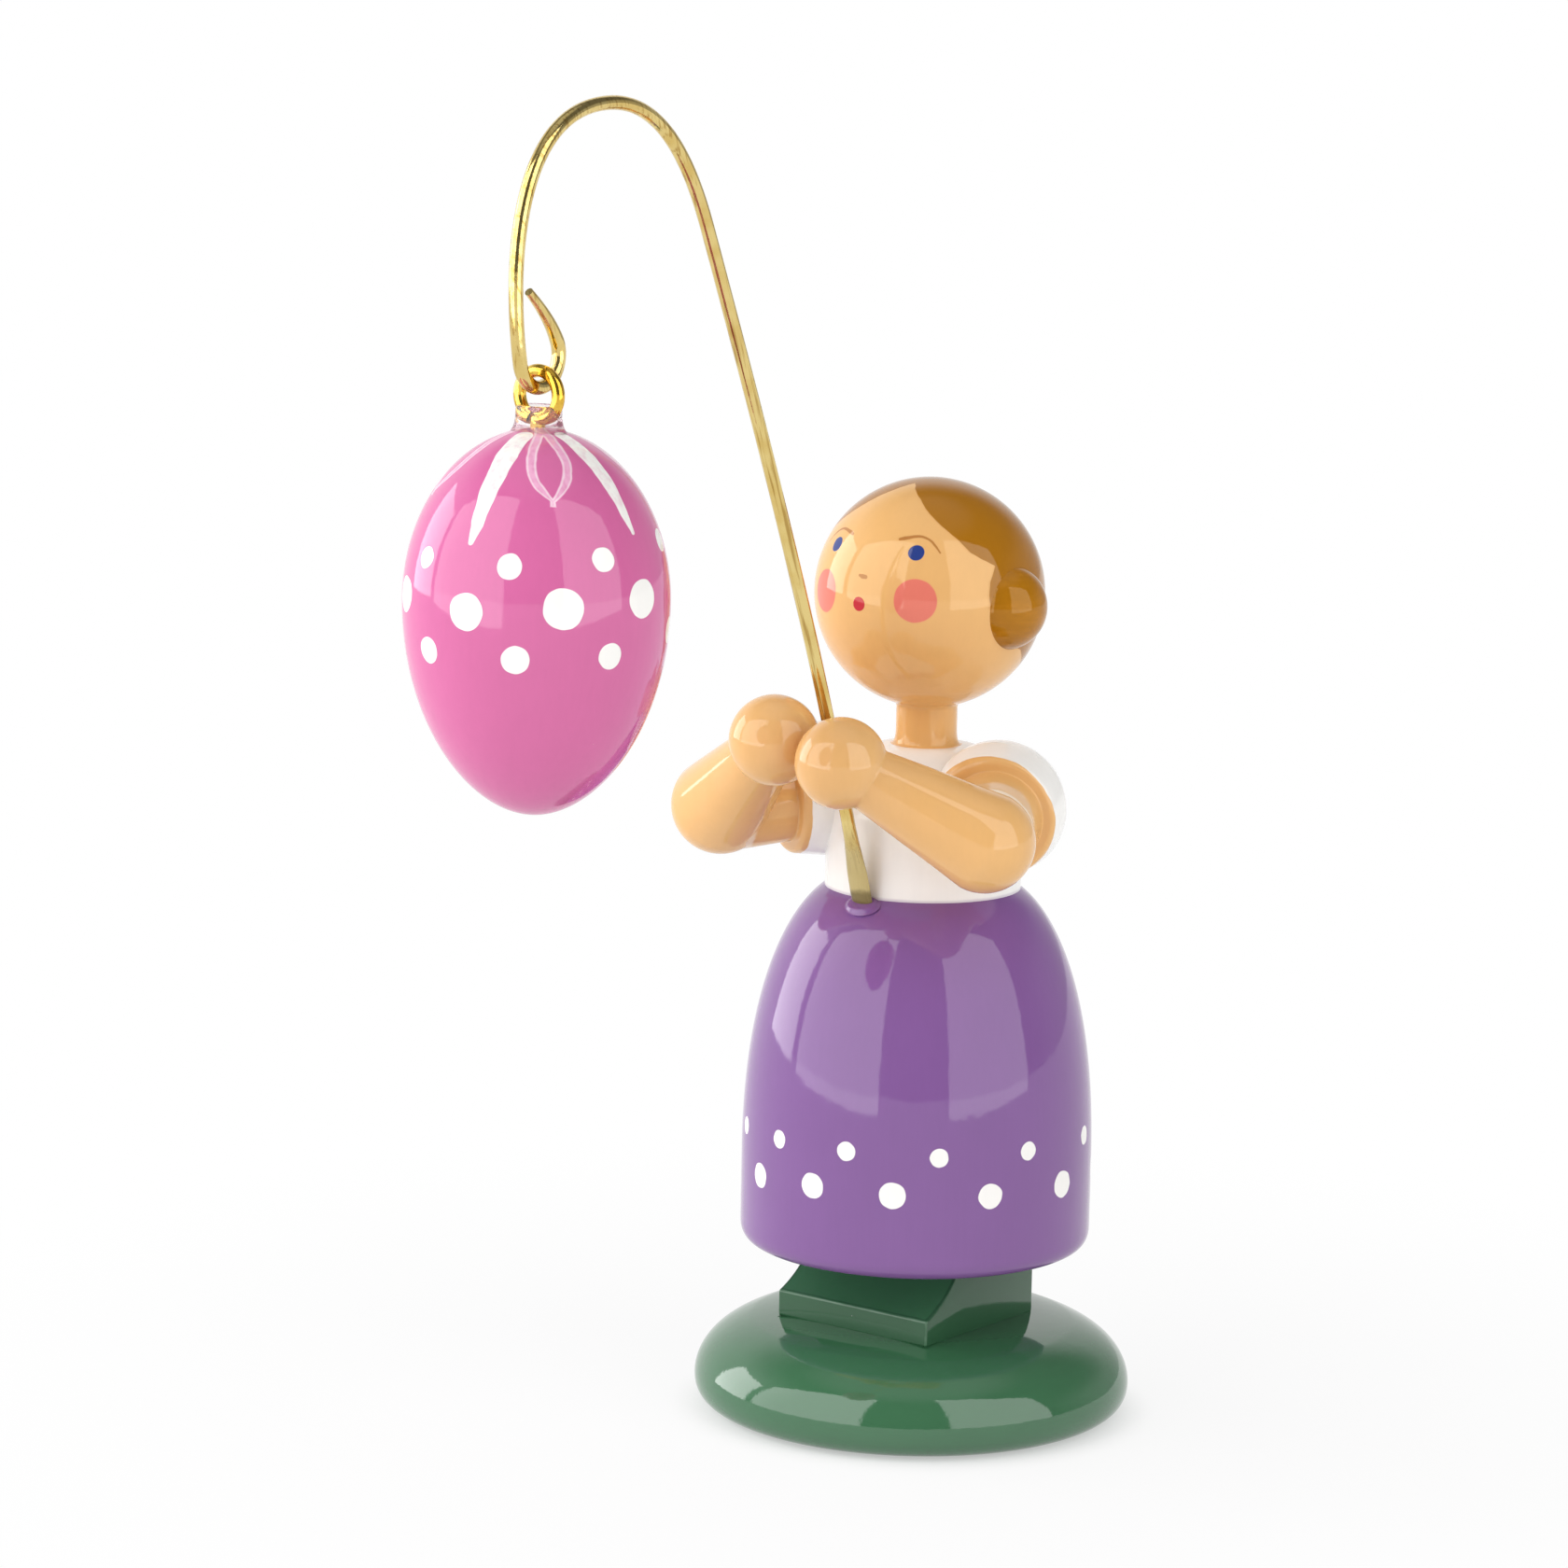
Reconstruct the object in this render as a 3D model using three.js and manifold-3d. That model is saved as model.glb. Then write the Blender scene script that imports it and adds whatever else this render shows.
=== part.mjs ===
// A turned wooden figure that holds up a bent brass staff with a painted egg hanging from it.
// Millimetres, +Z up. The figure faces -Y, its left hand is on the +X side, and the origin is
// the centre of the base's underside.

import * as THREE from 'three';
import { mergeVertices } from 'three/addons/utils/BufferGeometryUtils.js';
import Module from 'manifold-3d';

const wasm = await Module();
wasm.setup();

// Clearances
const jointGap = 0.3; // round pegs in their holes, and between pieces coped to each other
const handGap = 0.1; // between the two ball hands
const waistGap = 0.3; // from the staff's foot back to the blouse
const ringGap = 0.2; // from the wire up to the ring that hangs on it
const eyeSeatGap = 0.1; // from the ring's underside down to the egg
const tailGap = 0.3; // from the tip of the loop to the wire beside it

// Base and foot block
const baseRadius = 16.6;
const baseFootRadius = 13;
const baseRimHeight = 2.3;
const baseHeight = 7.35;
const baseSeatRadius = 10;
const baseRimRise = 1.9; // upward pull of the rim on the dome
const baseSeatReach = 5; // outward pull of the seat on the dome
const baseSeatDrop = 0.75; // how far that pull lies below the seat
const blockWidth = 14;
const blockDepth = 13.7;
const blockForward = 0.72; // the toes stand out ahead of the figure's axis
const blockAside = -0.15; // and a little towards its right
const blockTurn = -2; // degrees that the block is glued on out of square
const blockHeight = 5.65;
const toeHeight = 1.85;
const coveDepth = 3.7;
const coveHeight = 2.75;
const coveHollow = 0.45; // how far the cove is hollowed below a straight slope
const baseDowelRadius = 2;
const baseDowelInBase = 4.8;
const baseDowelInSkirt = 6;

// Skirt and blouse
const skirtHeight = 27.46;
const hemRadius = 13.3;
const hemRound = 1.5;
const hemStraight = 7; // height at which the skirt starts to draw in
const bellRise = 13; // pull of the straight side on the bell curve
const bellShoulder = 3; // pull of the waist on the bell curve
const bellSlope = 34; // degrees below level at which the bell leaves the waist
const blouseRadius = 7.4;
const blouseHeight = 10.84;
const shoulderDrop = 5.2; // height of the rounded shoulder below the neck
const blouseSpigotRadius = 3;
const blouseSpigotLength = 5;

// Head and buns of hair
const headRadius = 8.65;
const neckRadius = 2.3;
const neckFootRadius = 2.7;
const neckFlare = 1.2;
const neckLength = 3.09; // from the blouse to where the neck runs into the ball
const headSpigotRadius = 1.6;
const headSpigotLength = 5;
const bunRadius = 3.25;
const bunInset = 1.65; // how far the bun's centre lies inside the head's surface
const bunAzimuth = 91.5; // degrees round from the face
const bunTurn = 5.5; // degrees by which the pair is pegged on out of line, the left bun forwards
const bunElevation = -3; // degrees above the ears
const bunPegRadius = 0.8;
const bunPegLength = 3;

// Arms
const shoulderOverhang = 0.2; // sleeve centre beyond the blouse's side
const shoulderForward = 1.5;
const rightShoulderLead = 1.6; // the right arm is glued on this much farther forward
const shoulderBelowNeck = 3.9;
const sleeveRadius = 5.1;
const cuffRadius = 4.5;
const cuffReach = 3; // from the sleeve's centre to the cuff's edge
const armRadius = 3.6;
const elbowOut = 4.3;
const elbowForward = 8.2;
const elbowDrop = 0.9;
const elbowRadius = 3.75;
const elbowTenonRadius = 1;
const elbowTenonLength = 2.4; // beyond the coped end, towards the elbow's centre
const wristRadius = 2.35;
const handRadius = 3.38;
const gripAboveNeck = 1.2; // height of the hands over the top of the blouse
const gripAhead = 3.26; // from the middle of the wire forward to the hands
const handStep = 0.84; // the right hand sits this much above the left one
const handStagger = 1.06; // and this much behind it
const shoulderDowelRadius = 1;
const shoulderDowelInTorso = 3.4;
const shoulderDowelInSleeve = 2.6;

// Staff
const wireRadius = 0.5;
const staffHeight = 100.5;
const staffFootDepth = 5;
const footLean = 18; // degrees off plumb at the foot
const spadeWidth = 1.6;
const spadeThickness = 0.55;
const spadeLength = 5.2; // flattened length above the waist
const spadeTaper = 1.6; // length over which the flat runs out into the round wire
const bendForward = 28.5;
const bendHeight = 90.8;
const bendLean = 25; // degrees off plumb where the arch starts
const bendPull = 4;
const crestForward = 39.8;
const crestPullBack = 6.5;
const crestPullAhead = 10.5;
const dropPull = 6.5;
const hangForward = 47.3;
const hangHeight = 81.15; // centre of the wire at the bottom of the loop
const loopRadius = 2.1;
const loopEntry = 12; // degrees off plumb at which the drop runs into the loop
const loopOverrun = 28; // degrees that the loop turns past its side before the tail
const tailPull = 1.8;
const tailRise = 3.4; // height of the tip over the end of the loop's arc

// Egg and its screw eye
const eggRadius = 9.1;
const eggUpper = 11.7; // from the widest girth to the top
const eggLower = 14.7; // from the widest girth to the bottom
const eggTipPull = 4.3; // roundness of the lower tip
const eggSidePull = 8.6; // fullness of the side above it
const eyeWireRadius = 0.45;
const eyeRingRadius = 1.65; // to the middle of the wire
const eyeShankLength = 6;
const eyeTipLength = 1.2;

// Fineness of the round shapes
const turnedSides = 36;
const armSides = 20;
const pegSides = 16;
const wireSides = 8;
const staffSteps = 96;
const domeSteps = 3;
const baseSteps = 5;
const coveSteps = 6;
const bellSteps = 8;
const headSteps = 7;
const skullRings = 24;
const bunSides = 20;
const bunRings = 12;
const armSteps = 4;
const spadeSteps = 5;
const eggSteps = 6;
const ringSteps = 24;
const mergeDistance = 1e-5;
const searchSteps = 40;

// Heights and places that follow from the sizes above
const skirtBottom = baseHeight + blockHeight;
const waistHeight = skirtBottom + skirtHeight;
const neckHeight = waistHeight + blouseHeight;
const headCentre = neckHeight + neckLength + Math.sqrt(headRadius ** 2 - neckRadius ** 2);
const shoulderHeight = neckHeight - shoulderBelowNeck;
const shoulderSpread = blouseRadius + shoulderOverhang;
const ringCentre = hangHeight + wireRadius + ringGap + eyeWireRadius - eyeRingRadius;
const eyeUnderside = ringCentre - eyeRingRadius - eyeWireRadius;
const eggTop = eyeUnderside - eyeSeatGap;
const rad = THREE.MathUtils.degToRad;
const leftSide = 1;
const rightSide = -1;

// A body of revolution about +Z. The outline is a path of (radius, height), from the lower end of
// the axis round to the upper end.
function turned(outline, divisions, sides) {
  const profile = outline.getPoints(divisions).map((p) => new THREE.Vector2(Math.max(p.x, 0), p.y));
  const geometry = new THREE.LatheGeometry(profile, sides);
  geometry.rotateX(Math.PI / 2);
  return geometry;
}

function peg(radius, from, to) {
  const axis = new THREE.Vector3().subVectors(to, from);
  const geometry = new THREE.CylinderGeometry(radius, radius, axis.length(), pegSides);
  const up = new THREE.Vector3(0, 1, 0);
  const turn = new THREE.Quaternion().setFromUnitVectors(up, axis.clone().normalize());
  geometry.applyQuaternion(turn);
  const middle = new THREE.Vector3().addVectors(from, to).multiplyScalar(0.5);
  geometry.translate(middle.x, middle.y, middle.z);
  return geometry;
}

// Lays a body that was turned about +Z along a direction, from a start point.
function laidAlong(geometry, start, direction) {
  const up = new THREE.Vector3(0, 0, 1);
  geometry.applyQuaternion(new THREE.Quaternion().setFromUnitVectors(up, direction));
  geometry.translate(start.x, start.y, start.z);
  return geometry;
}

// A closed geometry as a solid for cutting and joining, without the empty triangles at its poles.
function solid(geometry) {
  const bare = geometry.clone();
  bare.deleteAttribute('normal');
  bare.deleteAttribute('uv');
  const merged = mergeVertices(bare, mergeDistance);
  const index = merged.index.array;
  const kept = [];
  for (let i = 0; i < index.length; i += 3) {
    const [a, b, c] = index.slice(i, i + 3);
    if (a !== b && b !== c && c !== a) {
      kept.push(a, b, c);
    }
  }
  const vertProperties = new Float32Array(merged.attributes.position.array);
  const triVerts = new Uint32Array(kept);
  return new wasm.Manifold(new wasm.Mesh({ numProp: 3, vertProperties, triVerts }));
}

function fromSolid(body) {
  const { vertProperties, triVerts } = body.getMesh();
  const geometry = new THREE.BufferGeometry();
  geometry.setAttribute('position', new THREE.BufferAttribute(vertProperties, 3));
  geometry.setIndex(new THREE.BufferAttribute(triVerts, 1));
  geometry.computeVertexNormals();
  return geometry;
}

function cut(geometry, ...tools) {
  const body = tools.reduce((left, tool) => left.subtract(solid(tool)), solid(geometry));
  return fromSolid(body);
}

function join(...geometries) {
  return fromSolid(geometries.map(solid).reduce((all, next) => all.add(next)));
}

// The base: flat underside, round rim, domed top with a flat seat, and a blind dowel hole.
function baseDisc() {
  const holeRadius = baseDowelRadius + jointGap;
  const holeFloor = baseHeight - baseDowelInBase - jointGap;
  const outline = new THREE.Path();
  outline.moveTo(0, 0);
  outline.lineTo(baseFootRadius, 0);
  outline.quadraticCurveTo(baseRadius, 0, baseRadius, baseRimHeight);
  outline.bezierCurveTo(
    baseRadius, baseRimHeight + baseRimRise,
    baseSeatRadius + baseSeatReach, baseHeight - baseSeatDrop,
    baseSeatRadius, baseHeight,
  );
  outline.lineTo(holeRadius, baseHeight);
  outline.lineTo(holeRadius, holeFloor);
  outline.lineTo(0, holeFloor);
  return turned(outline, baseSteps, turnedSides);
}

// The foot block: one outline of (y, z), seen from the side, run across the figure.
function footBlock() {
  const front = -blockForward - blockDepth / 2;
  const back = front + blockDepth;
  const toeTop = baseHeight + toeHeight;
  const outline = new THREE.Shape();
  outline.moveTo(front, baseHeight);
  outline.lineTo(back, baseHeight);
  outline.lineTo(back, skirtBottom);
  outline.lineTo(front + coveDepth, skirtBottom);
  outline.lineTo(front + coveDepth, toeTop + coveHeight);
  outline.quadraticCurveTo(
    front + coveDepth / 2 + coveHollow, toeTop + coveHeight / 2 - coveHollow,
    front, toeTop,
  );
  const block = new THREE.ExtrudeGeometry(outline, {
    depth: blockWidth,
    bevelEnabled: false,
    curveSegments: coveSteps,
  });
  block.translate(0, 0, blockAside - blockWidth / 2);
  const across = new THREE.Matrix4().makeBasis(
    new THREE.Vector3(0, 1, 0),
    new THREE.Vector3(0, 0, 1),
    new THREE.Vector3(1, 0, 0),
  );
  block.applyMatrix4(across);
  block.rotateZ(rad(blockTurn));
  return cut(block, baseDowel(jointGap));
}

function baseDowel(gap = 0) {
  const low = new THREE.Vector3(0, 0, baseHeight - baseDowelInBase - gap);
  const high = new THREE.Vector3(0, 0, skirtBottom + baseDowelInSkirt + gap);
  return peg(baseDowelRadius + gap, low, high);
}

// The staff's line from its foot to its tip, as a path of (y, z) in the plane x = 0.
const footPoint = new THREE.Vector2(
  -blouseRadius - waistGap - spadeThickness / 2 / Math.cos(rad(footLean)),
  waistHeight,
);
const footDirection = new THREE.Vector2(-Math.sin(rad(footLean)), Math.cos(rad(footLean)));
const bendDirection = new THREE.Vector2(-Math.sin(rad(bendLean)), Math.cos(rad(bendLean)));

function onLoop(centre, angle) {
  return new THREE.Vector2(Math.cos(angle), Math.sin(angle)).multiplyScalar(loopRadius).add(centre);
}

function staffLine() {
  const start = footPoint.clone().addScaledVector(footDirection, spadeLength - spadeTaper);
  const bend = new THREE.Vector2(-bendForward, bendHeight);
  const rodPull = start.distanceTo(bend) / 3;
  const rodOut = start.clone().addScaledVector(footDirection, rodPull);
  const rodIn = bend.clone().addScaledVector(bendDirection, -rodPull);
  const archOut = bend.clone().addScaledVector(bendDirection, bendPull);
  const crestHeight = staffHeight - wireRadius;
  const loopCentre = new THREE.Vector2(-hangForward, hangHeight + loopRadius);
  const entry = Math.PI + rad(loopEntry);
  const entryDirection = new THREE.Vector2(-Math.sin(entry), Math.cos(entry));
  const loopStart = onLoop(loopCentre, entry);
  const dropIn = loopStart.clone().addScaledVector(entryDirection, -dropPull);
  const overrun = rad(loopOverrun);
  const tailDirection = new THREE.Vector2(-Math.sin(overrun), Math.cos(overrun));
  const tailStart = onLoop(loopCentre, overrun);
  const tailBend = tailStart.clone().addScaledVector(tailDirection, tailPull);
  const tip = new THREE.Vector2(
    loopCentre.x - loopRadius + 2 * wireRadius + tailGap,
    tailStart.y + tailRise,
  );
  const line = new THREE.Path();
  line.moveTo(start.x, start.y);
  line.bezierCurveTo(rodOut.x, rodOut.y, rodIn.x, rodIn.y, bend.x, bend.y);
  line.bezierCurveTo(
    archOut.x, archOut.y,
    crestPullBack - crestForward, crestHeight,
    -crestForward, crestHeight,
  );
  line.bezierCurveTo(
    -crestForward - crestPullAhead, crestHeight,
    dropIn.x, dropIn.y,
    loopStart.x, loopStart.y,
  );
  line.absarc(loopCentre.x, loopCentre.y, loopRadius, entry, 2 * Math.PI + overrun);
  line.quadraticCurveTo(tailBend.x, tailBend.y, tip.x, tip.y);
  return line;
}

class StaffCurve extends THREE.Curve {
  constructor(line) {
    super();
    this.line = line;
  }

  getPoint(t, target = new THREE.Vector3()) {
    const p = this.line.getPoint(t);
    return target.set(0, p.x, p.y);
  }
}

const staffCurve = new StaffCurve(staffLine());

// How far forward the rod is at a height: the rod is the staff line's first curve.
function rodForwardAt(height) {
  const rod = staffCurve.line.curves[0];
  let low = 0;
  let high = 1;
  for (let i = 0; i < searchSteps; i += 1) {
    const middle = (low + high) / 2;
    if (rod.getPoint(middle).y < height) {
      low = middle;
    } else {
      high = middle;
    }
  }
  return -rod.getPoint(low).x;
}

// The flattened foot of the staff, grown by a gap where it is the tool for its own hole.
function spade(gap = 0) {
  const half = spadeWidth / 2 + gap;
  const bottom = -staffFootDepth - gap;
  const top = spadeLength + gap;
  const shoulder = top - spadeTaper;
  const outline = new THREE.Shape();
  outline.moveTo(-half, bottom);
  outline.lineTo(half, bottom);
  outline.lineTo(half, shoulder - spadeTaper);
  outline.quadraticCurveTo(half, shoulder, wireRadius + gap, top);
  outline.lineTo(-wireRadius - gap, top);
  outline.quadraticCurveTo(-half, shoulder, -half, shoulder - spadeTaper);
  const thickness = spadeThickness + 2 * gap;
  const blade = new THREE.ExtrudeGeometry(outline, {
    depth: thickness,
    bevelEnabled: false,
    curveSegments: spadeSteps,
  });
  blade.translate(0, 0, -thickness / 2);
  const stand = new THREE.Matrix4().makeBasis(
    new THREE.Vector3(1, 0, 0),
    new THREE.Vector3(0, footDirection.x, footDirection.y),
    new THREE.Vector3(0, -footDirection.y, footDirection.x),
  );
  blade.applyMatrix4(stand);
  blade.translate(0, footPoint.x, footPoint.y);
  return blade;
}

function staff() {
  const section = new THREE.Shape();
  section.absarc(0, 0, wireRadius, 0, 2 * Math.PI);
  const wire = new THREE.ExtrudeGeometry(section, {
    steps: staffSteps,
    extrudePath: staffCurve,
    bevelEnabled: false,
    curveSegments: wireSides / 2,
  });
  return join(wire, spade());
}

// The skirt: flat underside, rounded hem, bell up to the waist, and three blind holes.
function skirt() {
  const dowelRadius = baseDowelRadius + jointGap;
  const dowelTop = skirtBottom + baseDowelInSkirt + jointGap;
  const spigotRadius = blouseSpigotRadius + jointGap;
  const spigotFloor = waistHeight - blouseSpigotLength - jointGap;
  const slope = rad(bellSlope);
  const outline = new THREE.Path();
  outline.moveTo(0, dowelTop);
  outline.lineTo(dowelRadius, dowelTop);
  outline.lineTo(dowelRadius, skirtBottom);
  outline.lineTo(hemRadius - hemRound, skirtBottom);
  outline.quadraticCurveTo(hemRadius, skirtBottom, hemRadius, skirtBottom + hemRound);
  outline.lineTo(hemRadius, skirtBottom + hemStraight);
  outline.bezierCurveTo(
    hemRadius, skirtBottom + hemStraight + bellRise,
    blouseRadius + bellShoulder * Math.cos(slope), waistHeight - bellShoulder * Math.sin(slope),
    blouseRadius, waistHeight,
  );
  outline.lineTo(spigotRadius, waistHeight);
  outline.lineTo(spigotRadius, spigotFloor);
  outline.lineTo(0, spigotFloor);
  return cut(turned(outline, bellSteps, turnedSides), spade(jointGap));
}

// The blouse's outside, grown by a gap where it is the tool that copes the sleeves.
function blouseOutline(gap = 0) {
  const radius = blouseRadius + gap;
  const top = neckHeight + gap;
  const outline = new THREE.Path();
  outline.moveTo(0, waistHeight - gap);
  outline.lineTo(radius, waistHeight - gap);
  outline.lineTo(radius, neckHeight - shoulderDrop);
  outline.ellipse(neckFootRadius - radius, 0, radius - neckFootRadius, shoulderDrop + gap, 0, Math.PI / 2);
  outline.lineTo(0, top);
  return outline;
}

function blouse() {
  const body = turned(blouseOutline(), domeSteps, turnedSides);
  const spigot = peg(
    blouseSpigotRadius,
    new THREE.Vector3(0, 0, waistHeight - blouseSpigotLength),
    new THREE.Vector3(0, 0, waistHeight + blouseSpigotRadius),
  );
  const neckHole = peg(
    headSpigotRadius + jointGap,
    new THREE.Vector3(0, 0, neckHeight - headSpigotLength - jointGap),
    new THREE.Vector3(0, 0, neckHeight + jointGap),
  );
  return cut(
    join(body, spigot),
    neckHole,
    shoulderDowel(leftSide, jointGap),
    shoulderDowel(rightSide, jointGap),
  );
}

// The head: spigot, flared neck and ball, with a hole on each side for the peg of a bun.
function head() {
  const ballStart = Math.asin(-Math.sqrt(headRadius ** 2 - neckRadius ** 2) / headRadius);
  const outline = new THREE.Path();
  outline.moveTo(0, neckHeight - headSpigotLength);
  outline.lineTo(headSpigotRadius, neckHeight - headSpigotLength);
  outline.lineTo(headSpigotRadius, neckHeight);
  outline.lineTo(neckFootRadius, neckHeight);
  outline.quadraticCurveTo(neckRadius, neckHeight, neckRadius, neckHeight + neckFlare);
  outline.lineTo(neckRadius, neckHeight + neckLength);
  outline.absarc(0, headCentre, headRadius, ballStart, Math.PI / 2);
  const body = turned(outline, headSteps, turnedSides);
  return cut(body, bunPeg(leftSide, jointGap), bunPeg(rightSide, jointGap));
}

function bunDirection(side) {
  const azimuth = rad(bunAzimuth - side * bunTurn);
  const elevation = rad(bunElevation);
  return new THREE.Vector3(
    side * Math.sin(azimuth) * Math.cos(elevation),
    -Math.cos(azimuth) * Math.cos(elevation),
    Math.sin(elevation),
  );
}

function onHead(side, distance) {
  return bunDirection(side).multiplyScalar(distance).add(new THREE.Vector3(0, 0, headCentre));
}

function bunPeg(side, gap = 0) {
  const inner = headRadius - bunPegLength - gap;
  return peg(bunPegRadius + gap, onHead(side, inner), onHead(side, headRadius + jointGap + gap));
}

// A bun: the part of a small ball that stands out of the head, and its peg.
function bun(side) {
  const ball = new THREE.SphereGeometry(bunRadius, bunSides, bunRings);
  const centre = onHead(side, headRadius - bunInset);
  ball.translate(centre.x, centre.y, centre.z);
  const skull = new THREE.SphereGeometry(headRadius + jointGap, turnedSides, skullRings);
  skull.translate(0, 0, headCentre);
  const overlap = bunRadius - bunInset - jointGap;
  const stem = peg(
    bunPegRadius,
    onHead(side, headRadius - bunPegLength),
    onHead(side, headRadius + jointGap + overlap / 2),
  );
  return join(cut(ball, skull), stem);
}

function shoulderForwardAt(side) {
  return side === rightSide ? shoulderForward + rightShoulderLead : shoulderForward;
}

function shoulderAt(side) {
  return new THREE.Vector3(side * shoulderSpread, -shoulderForwardAt(side), shoulderHeight);
}

function elbowAt(side) {
  return new THREE.Vector3(
    side * (shoulderSpread + elbowOut),
    -shoulderForward - elbowForward,
    shoulderHeight - elbowDrop,
  );
}

// The hands sit side by side in front of the wire, the right one a little higher and farther back.
function handAt(side) {
  const height = neckHeight + gripAboveNeck;
  const apart = 2 * handRadius + handGap;
  const aside = Math.sqrt(apart ** 2 - handStep ** 2 - handStagger ** 2) / 2;
  const ahead = rodForwardAt(height) + gripAhead + side * handStagger / 2;
  return new THREE.Vector3(side * aside, -ahead, height - side * handStep / 2);
}

function shoulderDowel(side, gap = 0) {
  const inner = shoulderAt(side);
  const outer = shoulderAt(side);
  const torsoSide = Math.sqrt(blouseRadius ** 2 - shoulderForwardAt(side) ** 2);
  inner.x = side * (torsoSide - shoulderDowelInTorso - gap);
  outer.x = side * (torsoSide + jointGap + shoulderDowelInSleeve + gap);
  return peg(shoulderDowelRadius + gap, inner, outer);
}

// The forearm, turned about its own length: round elbow, cone, ball hand.
function forearmBody(side, gap = 0) {
  const elbow = elbowAt(side);
  const reach = new THREE.Vector3().subVectors(handAt(side), elbow);
  const length = reach.length();
  const wristAngle = Math.asin(wristRadius / handRadius);
  const wristStart = length - handRadius * Math.cos(wristAngle);
  const outline = new THREE.Path();
  outline.absarc(0, 0, elbowRadius + gap, -Math.PI / 2, 0);
  outline.lineTo(wristRadius + gap, wristStart);
  outline.absarc(0, length, handRadius + gap, wristAngle - Math.PI / 2, Math.PI / 2);
  return laidAlong(turned(outline, armSteps, armSides), elbow, reach.normalize());
}

function upperArmDirection(side) {
  return new THREE.Vector3().subVectors(elbowAt(side), shoulderAt(side)).normalize();
}

function elbowTenon(side, gap = 0) {
  const direction = upperArmDirection(side);
  const copedEnd = -elbowRadius - jointGap;
  const root = elbowAt(side).addScaledVector(direction, copedEnd - elbowTenonRadius - gap);
  const end = elbowAt(side).addScaledVector(direction, copedEnd + elbowTenonLength + gap);
  return peg(elbowTenonRadius + gap, root, end);
}

function forearm(side) {
  return cut(forearmBody(side), elbowTenon(side, jointGap));
}

// The upper arm: round sleeve coped to the blouse, cuff, thinner arm coped to the elbow, tenon.
function upperArm(side) {
  const shoulder = shoulderAt(side);
  const length = shoulder.distanceTo(elbowAt(side));
  const outline = new THREE.Path();
  outline.absarc(0, 0, sleeveRadius, -Math.PI / 2, 0);
  outline.lineTo(cuffRadius, cuffReach);
  outline.lineTo(armRadius, cuffReach);
  outline.lineTo(armRadius, length);
  outline.lineTo(0, length);
  const body = laidAlong(turned(outline, armSteps, armSides), shoulder, upperArmDirection(side));
  const coped = cut(
    body,
    turned(blouseOutline(jointGap), domeSteps, turnedSides),
    forearmBody(side, jointGap),
    shoulderDowel(side, jointGap),
  );
  return join(coped, elbowTenon(side));
}

// The egg: a pointed lower half, a half ellipse above it, and a blind hole for the screw eye.
function egg() {
  const girth = eggTop - eggUpper;
  const holeRadius = eyeWireRadius + jointGap;
  const mouth = Math.acos(holeRadius / eggRadius);
  const holeFloor = eggTop - eyeShankLength - jointGap;
  const outline = new THREE.Path();
  outline.moveTo(0, girth - eggLower);
  outline.bezierCurveTo(
    eggTipPull, girth - eggLower,
    eggRadius, girth - eggSidePull,
    eggRadius, girth,
  );
  outline.absellipse(0, girth, eggRadius, eggUpper, 0, mouth);
  outline.lineTo(holeRadius, holeFloor);
  outline.lineTo(0, holeFloor);
  const body = turned(outline, eggSteps, turnedSides);
  body.translate(0, -hangForward, 0);
  return body;
}

// The screw eye: a ring across the staff's loop, and a pointed shank into the egg.
function screwEye() {
  const ring = new THREE.TorusGeometry(eyeRingRadius, eyeWireRadius, wireSides, ringSteps);
  ring.rotateX(Math.PI / 2);
  ring.translate(0, 0, ringCentre);
  const point = eggTop - eyeShankLength;
  const shank = new THREE.Path();
  shank.moveTo(0, point);
  shank.lineTo(eyeWireRadius, point + eyeTipLength);
  shank.lineTo(eyeWireRadius, ringCentre - eyeRingRadius);
  shank.lineTo(0, ringCentre - eyeRingRadius);
  const eye = join(ring, turned(shank, 1, pegSides));
  eye.translate(0, -hangForward, 0);
  return eye;
}

const figure = new THREE.Group();

function add(name, geometry, color, roughness, metalness = 0) {
  const material = new THREE.MeshStandardMaterial({ color, roughness, metalness });
  const mesh = new THREE.Mesh(geometry, material);
  mesh.name = name;
  figure.add(mesh);
}

const green = 0x2f6b46;
const violet = 0x7d449c;
const white = 0xf3f1ee;
const flesh = 0xf0bd80;
const hairBrown = 0xa86f1a;
const pink = 0xd8529c;
const brass = 0xc9a545;
const gold = 0xe0b030;
const bareWood = 0xd9bd8b;
const lacquer = 0.15;
const sanded = 0.7;
const drawnWire = 0.25;

add('base_disc', baseDisc(), green, lacquer);
add('foot_block', footBlock(), green, lacquer);
add('base_dowel', baseDowel(), bareWood, sanded);
add('skirt', skirt(), violet, lacquer);
add('blouse', blouse(), white, lacquer);
add('head', head(), flesh, lacquer);
for (const [side, word] of [[leftSide, 'left'], [rightSide, 'right']]) {
  add(`bun_${word}`, bun(side), hairBrown, lacquer);
  add(`upper_arm_${word}`, upperArm(side), white, lacquer);
  add(`forearm_${word}`, forearm(side), flesh, lacquer);
  add(`shoulder_dowel_${word}`, shoulderDowel(side), bareWood, sanded);
}
add('staff', staff(), brass, drawnWire, 1);
add('egg', egg(), pink, lacquer);
add('screw_eye', screwEye(), gold, drawnWire, 1);

export default figure;
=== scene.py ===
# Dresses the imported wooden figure: smooth turned pieces, painted patterns, gloss lacquer and brass wire.
# Sizes are written in millimetres and brought to metres by mm.

import math

import bmesh
import bpy
from mathutils import Matrix, Vector


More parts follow.
